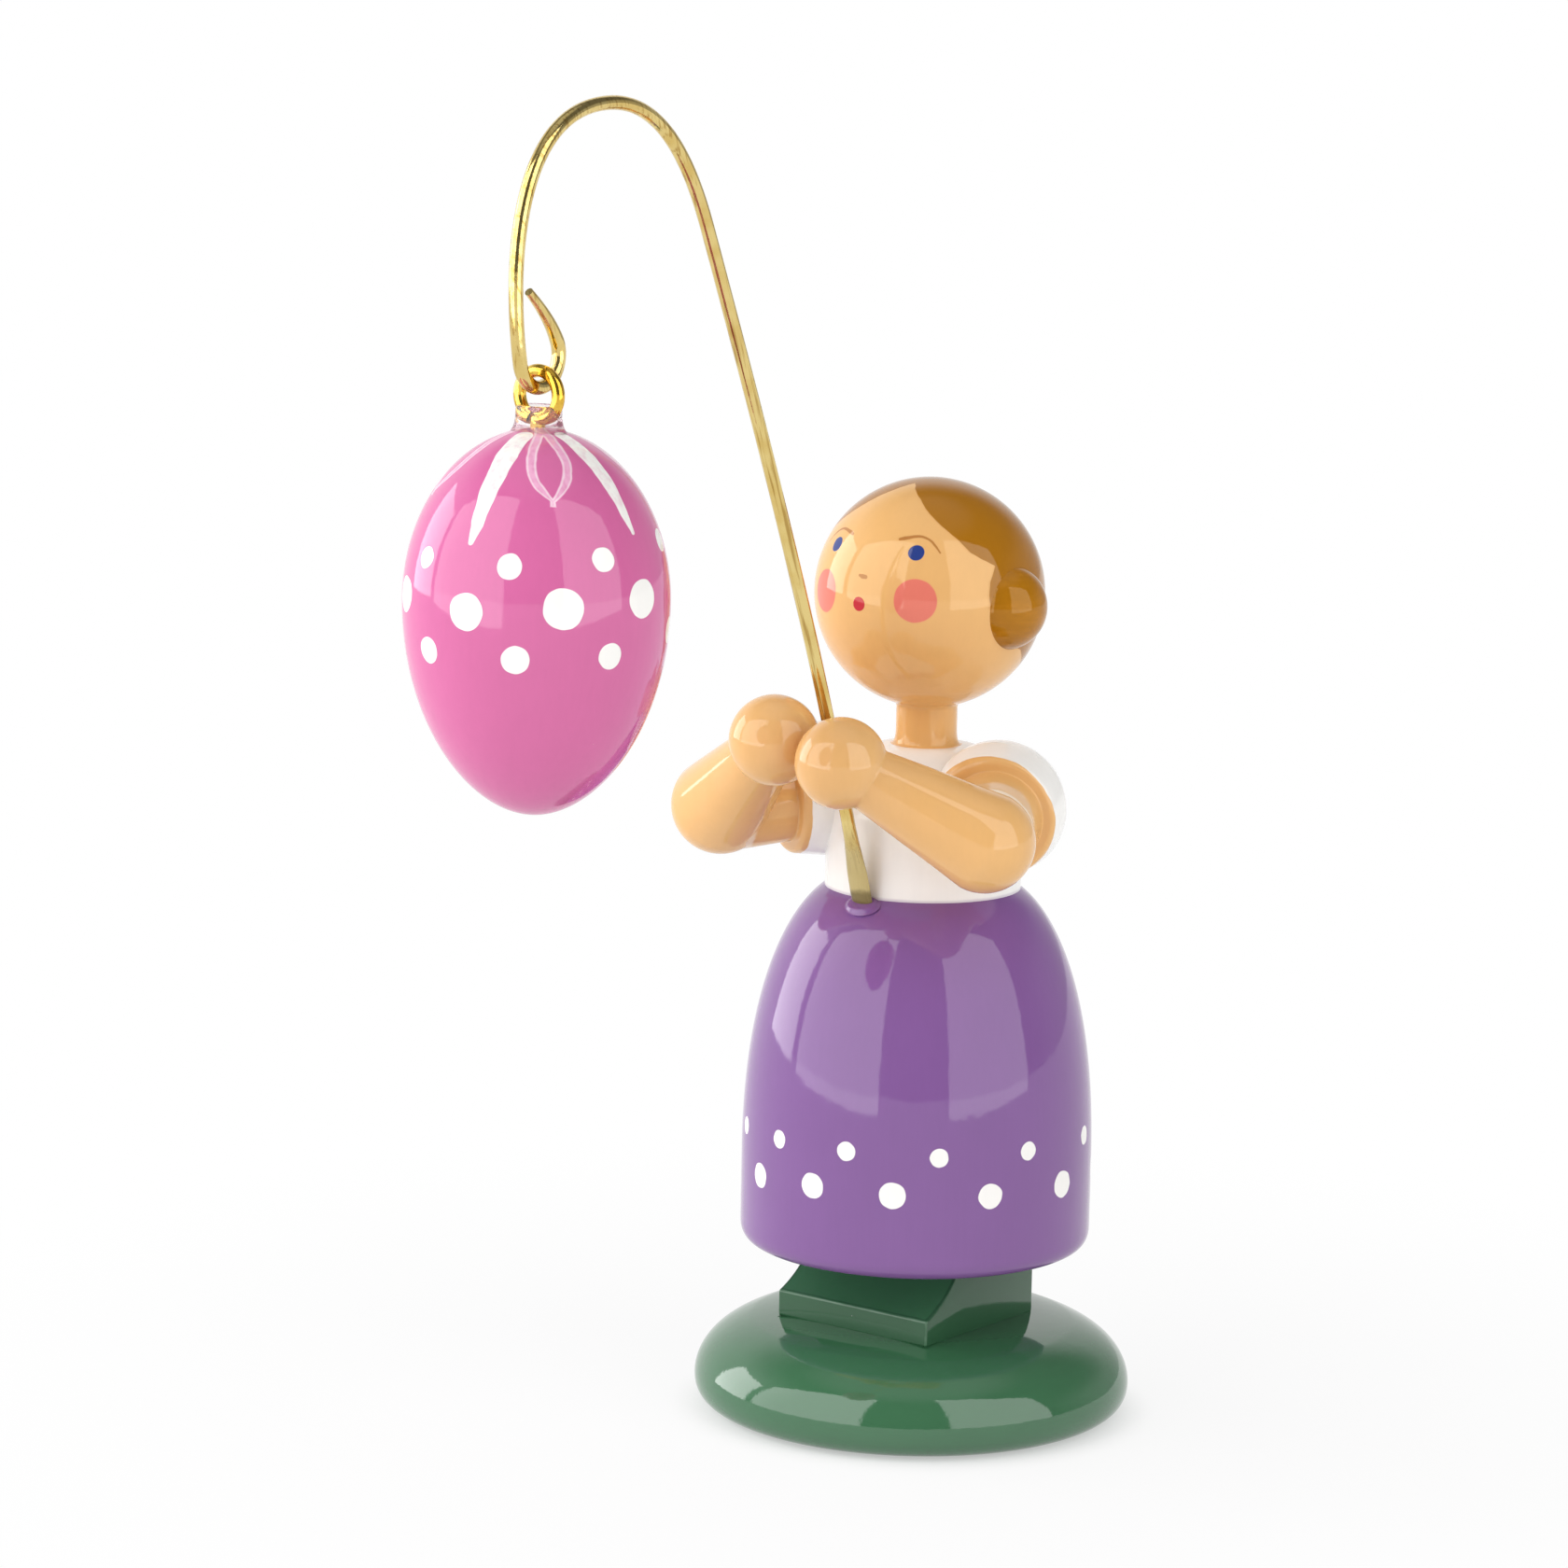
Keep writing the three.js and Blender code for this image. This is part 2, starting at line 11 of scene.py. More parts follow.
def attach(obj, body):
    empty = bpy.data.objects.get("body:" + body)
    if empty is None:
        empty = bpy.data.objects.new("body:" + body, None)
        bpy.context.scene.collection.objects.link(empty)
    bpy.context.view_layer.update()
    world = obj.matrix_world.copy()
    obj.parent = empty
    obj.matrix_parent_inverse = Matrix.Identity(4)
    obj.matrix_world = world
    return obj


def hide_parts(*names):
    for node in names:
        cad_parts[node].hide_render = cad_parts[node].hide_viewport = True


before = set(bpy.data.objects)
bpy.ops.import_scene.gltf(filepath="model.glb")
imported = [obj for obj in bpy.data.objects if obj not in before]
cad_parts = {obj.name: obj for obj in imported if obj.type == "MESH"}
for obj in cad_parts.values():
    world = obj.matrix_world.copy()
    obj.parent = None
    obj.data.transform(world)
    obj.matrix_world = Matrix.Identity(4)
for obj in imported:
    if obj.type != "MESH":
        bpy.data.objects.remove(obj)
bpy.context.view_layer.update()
mm = 0.001
scene = bpy.context.scene
print("frame loaded:", len(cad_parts), "nodes")


# modelling tools

def clearSelection():
    if bpy.context.mode != "OBJECT":
        bpy.ops.object.mode_set(mode="OBJECT")
    bpy.ops.object.select_all(action="DESELECT")


def pick(piece):
    clearSelection()
    piece.select_set(True)
    bpy.context.view_layer.objects.active = piece


def startPoint(name, at):  # a small plane merged to one point, left in edit mode
    clearSelection()
    bpy.ops.mesh.primitive_plane_add(size=mm, location=(0, 0, 0))
    piece = bpy.context.object
    piece.name = name
    piece.data.name = name
    bpy.ops.object.mode_set(mode="EDIT")
    selectAll()
    bpy.ops.mesh.merge(type="CENTER")
    bpy.ops.transform.translate(value=[c * mm for c in at])
    return piece


def drawLine(points):  # pulls the selected point along a line
    for here, there in zip(points, points[1:]):
        step = [(b - a) * mm for a, b in zip(here, there)]
        bpy.ops.mesh.extrude_region_move(TRANSFORM_OT_translate={"value": step})


def selectAll(wanted=True):
    bpy.ops.mesh.select_all(action="SELECT" if wanted else "DESELECT")


weldGap = 0.0005  # points closer than this become one, mm


def weld():  # joins the seam and the poles, then turns the faces outwards
    selectAll()
    bpy.ops.mesh.remove_doubles(threshold=weldGap * mm)
    bpy.ops.mesh.normals_make_consistent(inside=False)


def closeMesh():
    weld()
    bpy.ops.object.mode_set(mode="OBJECT")


def selectFaces(piece, wanted):
    mesh = bmesh.from_edit_mesh(piece.data)
    selectAll(False)
    for face in mesh.faces:
        face.select = wanted(face)
    bmesh.update_edit_mesh(piece.data)


def turnPiece(name, outline, sides):  # outline of (radius, height), spun about Z as on a lathe
    line = [(r, 0, h) for r, h in outline]
    piece = startPoint(name, line[0])
    drawLine(line)
    selectAll()
    bpy.ops.mesh.spin(steps=sides, angle=2 * math.pi, center=(0, 0, 0), axis=(0, 0, 1))
    closeMesh()
    return piece


def layAlong(piece, start, direction):
    piece.rotation_mode = "QUATERNION"
    piece.rotation_quaternion = Vector(direction).to_track_quat("Z", "Y")
    piece.location = [c * mm for c in start]
    applyPlace(piece)


def applyPlace(piece):
    pick(piece)
    bpy.ops.object.transform_apply(location=True, rotation=True, scale=True)


def finishPiece(piece, body, finish, nodes=(), crease=35):
    pick(piece)
    bpy.ops.object.shade_smooth_by_angle(angle=math.radians(crease))
    piece.data.materials.clear()
    piece.data.materials.append(finish)
    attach(piece, body)
    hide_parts(*nodes)
    print("made", piece.name, "with", len(piece.data.polygons), "faces")


def arc(centre, radii, start, end, steps):
    turn = [math.radians(start + (end - start) * i / steps) for i in range(steps + 1)]
    return [(centre[0] + radii[0] * math.cos(a), centre[1] + radii[1] * math.sin(a)) for a in turn]


def bezier(a, b, c, d, steps):
    points = []
    for i in range(steps + 1):
        t = i / steps
        weights = ((1 - t) ** 3, 3 * t * (1 - t) ** 2, 3 * t * t * (1 - t), t ** 3)
        points.append(tuple(sum(w * p[k] for w, p in zip(weights, (a, b, c, d))) for k in (0, 1)))
    return points


def curveBy(a, pull, b, steps):  # from a to b, drawn towards one point
    handles = [tuple(p + (u - p) * 2 / 3 for p, u in zip(end, pull)) for end in (a, b)]
    return bezier(a, *handles, b, steps)


def corner(a, b, c, size, steps=6, pull=0.6):  # rounds the corner b between a and c
    a, b, c = Vector(a), Vector(b), Vector(c)
    before = b + (a - b).normalized() * size
    after = b + (c - b).normalized() * size
    return bezier(before, before.lerp(b, pull), after.lerp(b, pull), after, steps)


# shader tools

def operator(operation):
    return lambda *values: values[0].maths(operation, *values)


class Sock:  # one output socket, so that shader maths reads as plain expressions
    def __init__(self, tree, socket):
        self.tree = tree
        self.socket = socket

    def node(self, kind, settings=None, inputs=None, output=0):
        made = self.tree.nodes.new(kind)
        for key, value in (settings or {}).items():
            if key == "stops":
                fillRamp(made.color_ramp, value)
            else:
                setattr(made, key, value)
        for key, value in (inputs or {}).items():
            if isinstance(value, Sock):
                self.tree.links.new(value.socket, made.inputs[key])
            else:
                made.inputs[key].default_value = value
        return Sock(self.tree, made.outputs[output])

    def maths(self, operation, *values):
        return self.node("ShaderNodeMath", {"operation": operation}, dict(enumerate(values)))

    __add__ = __radd__ = operator("ADD")
    __mul__ = __rmul__ = operator("MULTIPLY")
    __sub__ = operator("SUBTRACT")
    __truediv__ = operator("DIVIDE")
    __gt__ = operator("GREATER_THAN")
    __abs__ = operator("ABSOLUTE")

    def __rsub__(self, other):
        return self.maths("SUBTRACT", other, self)


def fillRamp(ramp, stops):
    while len(ramp.elements) < len(stops):
        ramp.elements.new(0.5)
    for element, (place, value) in zip(ramp.elements, stops):
        element.position = place
        element.color = (value, value, value, 1)


def linear(code):  # a colour as it is read off a screen, for the shader
    shown = [int(code[i:i + 2], 16) / 255 for i in (1, 3, 5)]
    return (*[p / 12.92 if p <= 0.04045 else ((p + 0.055) / 1.055) ** 2.4 for p in shown], 1)


def nodeOf(tree, kind):
    return next(n for n in tree.nodes if n.type == kind)


def surfaceOf(point):
    return nodeOf(point.tree, "BSDF_PRINCIPLED")


# a finish, and the point in millimetres from a centre, turned about Z, that its patterns are drawn on
def newFinish(name, fixed=None, centre=(0, 0, 0), turn=0):
    finish = bpy.data.materials.new(name)
    finish.use_nodes = True
    tree = finish.node_tree
    point = Sock(tree, tree.nodes.new("ShaderNodeTexCoord").outputs["Object"])
    for key, value in (fixed or {}).items():
        surfaceOf(point).inputs[key].default_value = value
    return finish, point.node("ShaderNodeMapping", {}, {
        "Vector": point,
        "Scale": (1 / mm, 1 / mm, 1 / mm),
        "Rotation": (0, 0, math.radians(turn)),
        "Location": [-c for c in centre],
    })


def parts(point):
    return [point.node("ShaderNodeSeparateXYZ", {}, {0: point}, k) for k in range(3)]


def joined(x, y, z):
    return x.node("ShaderNodeCombineXYZ", {}, {0: x, 1: y, 2: z})


def vectorMaths(point, operation, *values, output=0):
    return point.node("ShaderNodeVectorMath", {"operation": operation}, dict(enumerate(values)), output)


def away(point, spot):  # distance to a spot
    return vectorMaths(point, "DISTANCE", point, spot, output=1)


def ease(value, low, high):  # 0 below low, 1 above high
    return value.node("ShaderNodeMapRange", {"interpolation_type": "SMOOTHSTEP"}, {
        "Value": value, "From Min": low, "From Max": high,
    })


def inside(gap, edge):  # 1 where a gap is below zero
    return 1 - ease(gap, -edge, edge)


def blended(a, b, share):
    return share.node("ShaderNodeMix", {"data_type": "RGBA"}, {0: share, 6: a, 7: b}, 2)


def noise(point, scale, detail=2, rough=0.5):
    return point.node("ShaderNodeTexNoise", {}, {
        "Vector": point, "Scale": scale, "Detail": detail, "Roughness": rough,
    })


def plug(point, colour, rough, height):  # height in millimetres
    bump = point.node("ShaderNodeBump", {}, {"Height": height, "Distance": mm})
    for name, value in (("Base Color", colour), ("Roughness", rough), ("Normal", bump)):
        point.tree.links.new(value.socket, surfaceOf(point).inputs[name])


def stretched(point, factors):
    return vectorMaths(point, "MULTIPLY", point, factors)


def wobbled(point, amount, scale):  # a hand's unsteadiness in what is painted
    shake = point.node("ShaderNodeTexNoise", {}, {"Vector": point, "Scale": scale, "Detail": 1}, 1)
    return vectorMaths(point, "MULTIPLY_ADD", shake, (amount,) * 3, vectorMaths(
        point, "SUBTRACT", point, (amount / 2,) * 3))


def nearest(gaps):
    best = gaps[0]
    for gap in gaps[1:]:
        best = best.maths("MINIMUM", best, gap)
    return best


def spots(point, places):  # places of (spot, radius)
    return nearest([away(point, spot) - radius for spot, radius in places])


def strokeGap(point, line, widths):  # distance to a brush stroke that changes in width
    gaps = []
    for a, b, wide, narrow in zip(line, line[1:], widths, widths[1:]):
        run = Vector(b) - Vector(a)
        along = vectorMaths(point, "DOT_PRODUCT", vectorMaths(
            point, "SUBTRACT", point, a), run / run.length_squared, output=1)
        share = point.node("ShaderNodeClamp", {}, {0: along})
        foot = vectorMaths(point, "MULTIPLY_ADD", share, run, a)
        gaps.append(away(point, foot) - (share * (narrow - wide) + wide))
    return nearest(gaps)


lacquerLook = dict(
    roughness=0.055,
    roughnessDrift=0.04,
    grainHeight=0.0035,   # grain and sanding lines under the paint, mm
    peelHeight=0.006,     # soft waves of the sprayed lacquer, mm
    speckHeight=0.02,     # dust caught in the lacquer, mm
    speckRadius=0.055,
    speckCore=0.3,        # share of a speck that stands at its full height
    speckSpacing=2.4,
    speckRarity=0.8,      # share of the places that stay clean
    speckTone=(0.85, 0.83, 0.8, 1), speckPale=0.25,
    reliefHeight=0.014,   # thickness of a painted dot or stroke, mm
    drift=0.05,           # how far the colour wanders
    grainScale=2.6, peelScale=0.8, cloudScale=0.16, glossScale=0.4,
)
sawnGrain = {"grain": (1, 0.12, 1), "coarse": 1.5}
fineGrain = {"coarse": 0.3}


def lacquered(point, colour, relief=None, grain=(1, 1, 0.12), coarse=1, look=lacquerLook):
    fibre = noise(stretched(point, grain), look["grainScale"], 3, 0.6)
    waves = noise(point, look["peelScale"], 1)
    cloud = noise(point, look["cloudScale"], 2)
    cells = {"Vector": point, "Scale": 1 / look["speckSpacing"]}
    near = point.node("ShaderNodeTexVoronoi", {}, cells, 0)
    chance = parts(point.node("ShaderNodeTexVoronoi", {}, cells, 1))[0]
    reach = look["speckRadius"] / look["speckSpacing"]
    specks = (1 - ease(near, look["speckCore"] * reach, reach)) * (chance > look["speckRarity"])
    height = fibre * (coarse * look["grainHeight"]) + waves * look["peelHeight"]
    height = height + specks * look["speckHeight"]
    if relief is not None:
        height = height + relief * look["reliefHeight"]
    tone = (cloud - 0.5) * (2 * look["drift"]) + (fibre - 0.5) * look["drift"] + 1
    shade = point.node("ShaderNodeVectorMath", {"operation": "SCALE"}, {0: colour, "Scale": tone})
    pale = blended(shade, look["speckTone"], specks * look["speckPale"])
    drift = look["roughnessDrift"]
    rough = noise(point, look["glossScale"], 3) * drift + look["roughness"] - drift / 2
    plug(point, pale, rough, height)


paintCodes = {
    # the dark green gives the base's darker clouds and the painted shade on the block's faces; the pale green
    # gives rubbed paint and a painted highlight on the block's edges
    "green": "#3A6B49", "greenWornAndHighlight": "#8FB79B", "greenCloudAndShade": "#2C5338", "violet": "#805895",
    "white": "#F7F5F1", "flesh": "#E6B372", "glue": "#F6E3C6", "hair": "#A66C0E",
    # the pale hair orange gives the buns' paler clouds and the painted highlight along the hair's edge
    "hairPaleAndHighlight": "#D08A2C", "pink": "#D0679D", "petal": "#EDB3D2", "cheek": "#E4776A",
    "lips": "#C4142F", "eye": "#2A3F86", "brow": "#A8662A", "wood": "#D9BD8B",
    "woodDark": "#B98F57",
}
paints = {name: linear(code) for name, code in paintCodes.items()}


def cloudedFinish(name, paint, other, look, **grain):  # the other paint shows through in clouds or streaks
    finish, point = newFinish(name, look.get("surface"))
    cloud = noise(stretched(point, look.get("cloud", (1, 1, 1))), look["cloudScale"], look["cloudDetail"])
    cover = ease(cloud, *look["cloudEdge"]) * look["cloudShare"]
    lacquered(point, blended(paints[paint], paints[other], cover), **grain)
    return finish


print("tools ready")


# camera and studio

cameraLook = dict(
    azimuth=34.15, distance=400, height=115.6,  # where it stands, degrees and mm
    yaw=1.52, pitch=9.6, roll=1.12,
    lens=123.75, sensor=36,
)


def addCamera(look):
    standing, yaw, pitch, roll = [math.radians(look[k]) for k in ("azimuth", "yaw", "pitch", "roll")]
    facing = standing + yaw
    reach, level = look["distance"], math.cos(pitch)
    spot = Vector((math.sin(standing) * reach, -math.cos(standing) * reach, look["height"]))
    ahead = Vector((-math.sin(facing) * level, math.cos(facing) * level, -math.sin(pitch)))
    across = ahead.cross(Vector((0, 0, 1))).normalized()
    upward = across.cross(ahead)
    right = across * math.cos(roll) + upward * math.sin(roll)
    top = upward * math.cos(roll) - across * math.sin(roll)
    data = bpy.data.cameras.new("studio_camera")
    data.sensor_width = look["sensor"]
    data.lens = look["lens"]
    camera = bpy.data.objects.new("studio_camera", data)
    scene.collection.objects.link(camera)
    turn = Matrix((right, top, -ahead)).transposed().to_4x4()
    camera.matrix_world = Matrix.Translation(spot * mm) @ turn
    scene.camera = camera


studioLook = dict(
    # tall soft panels: two lower corners (x, y), height, brightness, all in metres
    panels={
        "panel_left": ((-0.62, -0.42), (0.055, -0.35), 0.57, 3.0),
        "panel_far_left": ((-1.05, 0.0), (-0.98, -0.53), 0.66, 3.8),
        "panel_right": ((0.28, -0.20), (0.66, 0.27), 0.63, 2.4),
    },
    lift=0.004,
    floorSize=8,
    floor={"Base Color": (0.9, 0.9, 0.9, 1), "Roughness": 0.9, "Specular IOR Level": 0.1},
    floorGlow=0.87,       # share of the floor that shows as plain white beside the figure
    contact=(14, 19), contactGlow=0.5,  # darker right under the base's edge, mm
    shadow=(25, 95),      # further out the floor is all white, mm
    frontGlow=0.16,       # light from the open front of the studio
    backGlow=1.0,         # light from the white wall behind, near the floor
    topGlow=0.4,          # light from straight above
    wallFade=0.62,        # how much darker the wall is on the right
    # where each begins and is full, as shares of a direction of length one
    wallFrom=(-0.25, 0.45), wallRight=(0.05, 0.7), wallTop=(0.5, 0.85), skyFrom=(0.8, 0.97),
    wallLean=0.25, wallDip=0.3,  # the wall's tilt, and how far its top drops on the right
)


def addPanel(name, low, high, tall, power, lift):
    a, b = Vector((*low, 0)), Vector((*high, 0))
    data = bpy.data.lights.new(name, "AREA")
    data.shape = "RECTANGLE"
    data.size = (b - a).length
    data.size_y = tall
    data.energy = power
    lamp = bpy.data.objects.new(name, data)
    scene.collection.objects.link(lamp)
    across = (b - a).normalized()
    upright = Vector((0, 0, 1))
    facing = across.cross(upright)  # the lamp shines along its own -Z
    middle = (a + b) / 2
    if facing.dot(-middle) > 0:
        across = -across
        facing = -facing
    turn = Matrix((across, upright, facing)).transposed().to_4x4()
    lamp.matrix_world = Matrix.Translation(middle + Vector((0, 0, lift + tall / 2))) @ turn


def addFloor(look):
    clearSelection()
    bpy.ops.mesh.primitive_plane_add(size=look["floorSize"], location=(0, 0, 0))
    floor = bpy.context.object
    floor.name = "studio_floor"
    finish, point = newFinish("pale_floor", look["floor"])
    tree = point.tree
    path = tree.nodes.new("ShaderNodeLightPath")
    glow = tree.nodes.new("ShaderNodeEmission")
    mix = tree.nodes.new("ShaderNodeMixShader")
    seen = Sock(tree, path.outputs["Is Camera Ray"])
    for way in ("Is Glossy Ray", "Is Transmission Ray"):
        seen = seen.maths("MAXIMUM", seen, Sock(tree, path.outputs[way]))
    reach = away(point, (0, 0, 0))
    near = ease(reach, *look["contact"])
    far = ease(reach, *look["shadow"])
    lit = near * (1 - look["contactGlow"]) + look["contactGlow"]
    share = seen * (far * (1 - look["floorGlow"]) + lit * look["floorGlow"])
    for k, socket in enumerate((share.socket, surfaceOf(point).outputs[0], glow.outputs[0])):
        tree.links.new(socket, mix.inputs[k])
    tree.links.new(mix.outputs[0], nodeOf(tree, "OUTPUT_MATERIAL").inputs[0])
    floor.data.materials.append(finish)


def addWorld(look):
    world = bpy.data.worlds.new("studio_air")
    world.use_nodes = True
    scene.world = world
    tree = world.node_tree
    aim = Sock(tree, tree.nodes.new("ShaderNodeTexCoord").outputs["Generated"])
    facing = math.radians(cameraLook["azimuth"])
    sine, cosine = math.sin(facing), math.cos(facing)
    behind = vectorMaths(aim, "DOT_PRODUCT", aim, (-sine, cosine, look["wallLean"]), output=1)
    right = vectorMaths(aim, "DOT_PRODUCT", aim, (cosine, sine, 0), output=1)
    right = ease(right, *look["wallRight"])
    rise = parts(aim)[2]
    wall = ease(behind, *look["wallFrom"]) * (1 - ease(rise + right * look["wallDip"], *look["wallTop"]))
    wall = wall * (1 - right * look["wallFade"])
    path = tree.nodes.new("ShaderNodeLightPath")
    seen = Sock(tree, path.outputs["Is Camera Ray"])
    glow = wall * (look["backGlow"] - look["frontGlow"]) + look["frontGlow"]
    glow = glow + ease(rise, *look["skyFrom"]) * look["topGlow"]
    white = seen.maths("MAXIMUM", seen, glow)
    tone = white.node("ShaderNodeCombineColor", {}, {0: white, 1: white, 2: white})
    tree.links.new(tone.socket, nodeOf(tree, "BACKGROUND").inputs["Color"])


scene.view_settings.view_transform = "Standard"
addCamera(cameraLook)
for panelName, panelPlace in studioLook["panels"].items():
    addPanel(panelName, *panelPlace, studioLook["lift"])
addFloor(studioLook)
addWorld(studioLook)
print("camera and studio ready")


# base and foot block

baseLook = dict(
    radius=16.6, foot=13.0, rimHeight=2.3, height=7.35, seat=10.0,
    rimRise=1.9, seatReach=5.0, seatDrop=0.75, seatRound=2.2, sides=160,
    surface={"IOR": 1.66},  # several coats, hard and bright
    cloudScale=0.3, cloudDetail=2, cloudEdge=(0.45, 0.85), cloudShare=0.15,
)

blockLook = dict(
    width=14.0, aside=-0.15, front=-7.57, back=6.13, bottom=7.25, top=13.2, turn=-2,
    toeTop=9.2, coveRun=3.7, coveRise=2.75, hollow=0.45,
    edge=0.16, bead=0.22, sharpFrom=25,
    # the toe and side faces are painted darker, a painted shade; their edges are painted paler in patches:
    # rubbed paint and a painted highlight
    shake=(0.12, 0.9), footBlend=0.15,
    sideShadeEdge=(0.2, 0.3), sideShadeShare=0.75, wornAndHighlightEdge=(0.05, 0.2), wornAndHighlightScale=0.5, wornAndHighlightShare=0.3,
)


def blockFinish(look):
    finish, point = newFinish("green_lacquer", turn=-look["turn"])
    x, y, z = parts(wobbled(point, *look["shake"]))
    side = abs(abs(x - look["aside"]) - look["width"] / 2)
    toe = abs(y - look["front"])
    over = ease(z, look["bottom"], look["bottom"] + look["footBlend"])
    # painted shade: the upright toe and side faces are painted darker
    deep = (1 - ease(nearest([side, toe]), *look["sideShadeEdge"])) * over
    # rubbed paint and a painted highlight: the toe's top edge and upright corners are painted paler in
    # patches
    edge = nearest([abs(z - look["toeTop"]) + toe, side + toe])
    wornAndHighlight = (1 - ease(edge, *look["wornAndHighlightEdge"])) * over
    colour = blended(paints["green"], paints["greenCloudAndShade"], deep * look["sideShadeShare"])
    rubbedAndHighlight = noise(point, look["wornAndHighlightScale"], 3) * look["wornAndHighlightShare"]
    lacquered(point, blended(colour, paints["greenWornAndHighlight"], wornAndHighlight * rubbedAndHighlight), **sawnGrain)
    return finish


def makeBase(look, finish):
    radius, rim, seat, top = look["radius"], look["rimHeight"], look["seat"], look["height"]
    fillet = look["seatRound"]
    outline = [(0, 0)] + curveBy((look["foot"], 0), (radius, 0), (radius, rim), 14)
    dome = bezier((radius, rim), (radius, rim + look["rimRise"]),
                  (seat + look["seatReach"], top - look["seatDrop"]), (seat, top), 40)[1:]
    dome = [p for p in dome if p[0] > seat + fillet]
    outline += dome + corner(dome[-1], (seat, top), (0, top), fillet, 12)
    outline += [(seat * k / 4, top) for k in (2, 1, 0)]
    piece = turnPiece("base", outline, look["sides"])
    finishPiece(piece, "figure", finish, ["base_disc"])


def makeBlock(look, finish):
    front, back, low, aside = look["front"], look["back"], look["bottom"], look["aside"]
    toe, run, rise, hollow = look["toeTop"], look["coveRun"], look["coveRise"], look["hollow"]
    heel = front + run
    middle = (front + run / 2 + hollow, toe + rise / 2 - hollow)
    outline = [(back, low), (front, low)]
    outline += curveBy((front, toe), middle, (heel, toe + rise), 12)
    outline += [(heel, look["top"]), (back, look["top"])]
    line = [(aside - look["width"] / 2, y, z) for y, z in outline]
    piece = startPoint("foot_block_shoes", line[0])
    drawLine(line)
    selectAll()
    bpy.ops.mesh.edge_face_add()
    bpy.ops.mesh.extrude_region_move(TRANSFORM_OT_translate={"value": (look["width"] * mm, 0, 0)})
    selectAll()
    bpy.ops.mesh.normals_make_consistent(inside=False)
    selectAll(False)
    bpy.ops.mesh.edges_select_sharp(sharpness=math.radians(look["sharpFrom"]))
    bpy.ops.mesh.bevel(offset=look["edge"] * mm, segments=4, profile=0.5, affect="EDGES")
    # lacquer gathers round the block's foot: the lowest loop is spread a little
    selectFaces(piece, lambda face: face.normal.z < -0.99)
    spread = 1 + 2 * look["bead"] / look["width"]
    centre = Vector((aside, (front + back) / 2, low)) * mm
    bpy.ops.transform.resize(value=(spread, spread, 1), center_override=centre)
    closeMesh()
    piece.rotation_euler = (0, 0, math.radians(look["turn"]))
    applyPlace(piece)
    finishPiece(piece, "figure", finish, ["foot_block"], crease=30)


makeBase(baseLook, cloudedFinish("base_lacquer", "green", "greenCloudAndShade", baseLook, **sawnGrain))
makeBlock(blockLook, blockFinish(blockLook))


# skirt

skirtLook = dict(
    bottom=13.0, hem=13.3, hemRound=1.5, straightTo=20.0,
    waist=7.4, top=40.46, bellRise=13, bellShoulder=3, bellSlope=34,
    sides=160,
    # white dots: degrees round from the front, height, radius
    smallDots=[
        (-41.6, 22.3, 0.68), (-16.3, 22.5, 0.70), (11.2, 22.6, 0.73), (41.5, 22.5, 0.72), (73.0, 22.55, 0.70),
        (105.9, 22.4, 0.72), (136.0, 22.5, 0.71), (166.5, 22.6, 0.70), (197.0, 22.4, 0.73),
        (227.0, 22.5, 0.70), (256.5, 22.6, 0.71), (287.0, 22.4, 0.72)],
    bigDots=[
        (-27.1, 19.2, 0.93), (-1.0, 19.6, 0.97), (26.8, 19.55, 1.02), (58.9, 19.45, 0.95), (89.7, 19.4, 1.03),
        (121.5, 19.3, 0.97), (151.0, 19.5, 0.99), (182.0, 19.4, 0.95), (212.5, 19.6, 1.01),
        (243.0, 19.5, 0.97), (272.0, 19.4, 0.95), (302.5, 19.3, 0.98)],
    shake=(0.16, 1.1), dotEdge=0.03,
)


def roundAbout(angle, radius, height):
    turn = math.radians(angle)
    return (radius * math.sin(turn), -radius * math.cos(turn), height)


def violetFinish(look):
    finish, point = newFinish("violet_lacquer")
    painted = wobbled(point, *look["shake"])
    places = [(roundAbout(a, look["hem"], h), r) for a, h, r in look["smallDots"] + look["bigDots"]]
    dots = inside(spots(painted, places), look["dotEdge"])
    lacquered(point, blended(paints["violet"], paints["white"], dots), dots)
    return finish


def makeSkirt(look, finish):
    slope = math.radians(look["bellSlope"])
    low, top, hem, fillet = look["bottom"], look["top"], look["hem"], look["hemRound"]
    outline = [(r, low) for r in (0, 4, 8)]
    outline += curveBy((hem - fillet, low), (hem, low), (hem, low + fillet), 12)
    shoulder = look["bellShoulder"]
    outline += bezier(
        (hem, look["straightTo"]), (hem, look["straightTo"] + look["bellRise"]),
        (look["waist"] + shoulder * math.cos(slope), top - shoulder * math.sin(slope)),
        (look["waist"], top), 48)
    outline += [(r, top) for r in (5, 2, 0)]
    piece = turnPiece("skirt_bell", outline, look["sides"])
    finishPiece(piece, "figure", finish, ["skirt"])


violetPaint = violetFinish(skirtLook)
makeSkirt(skirtLook, violetPaint)


# blouse, head and buns

blouseLook = dict(
    bottom=39.9, radius=7.4, shoulder=46.1, top=51.3, neck=2.7, sides=128,
    shake=(0.1, 0.7), hem=(40.5, 40.75), hemShare=0.35,  # a little violet drawn up at the waist
)

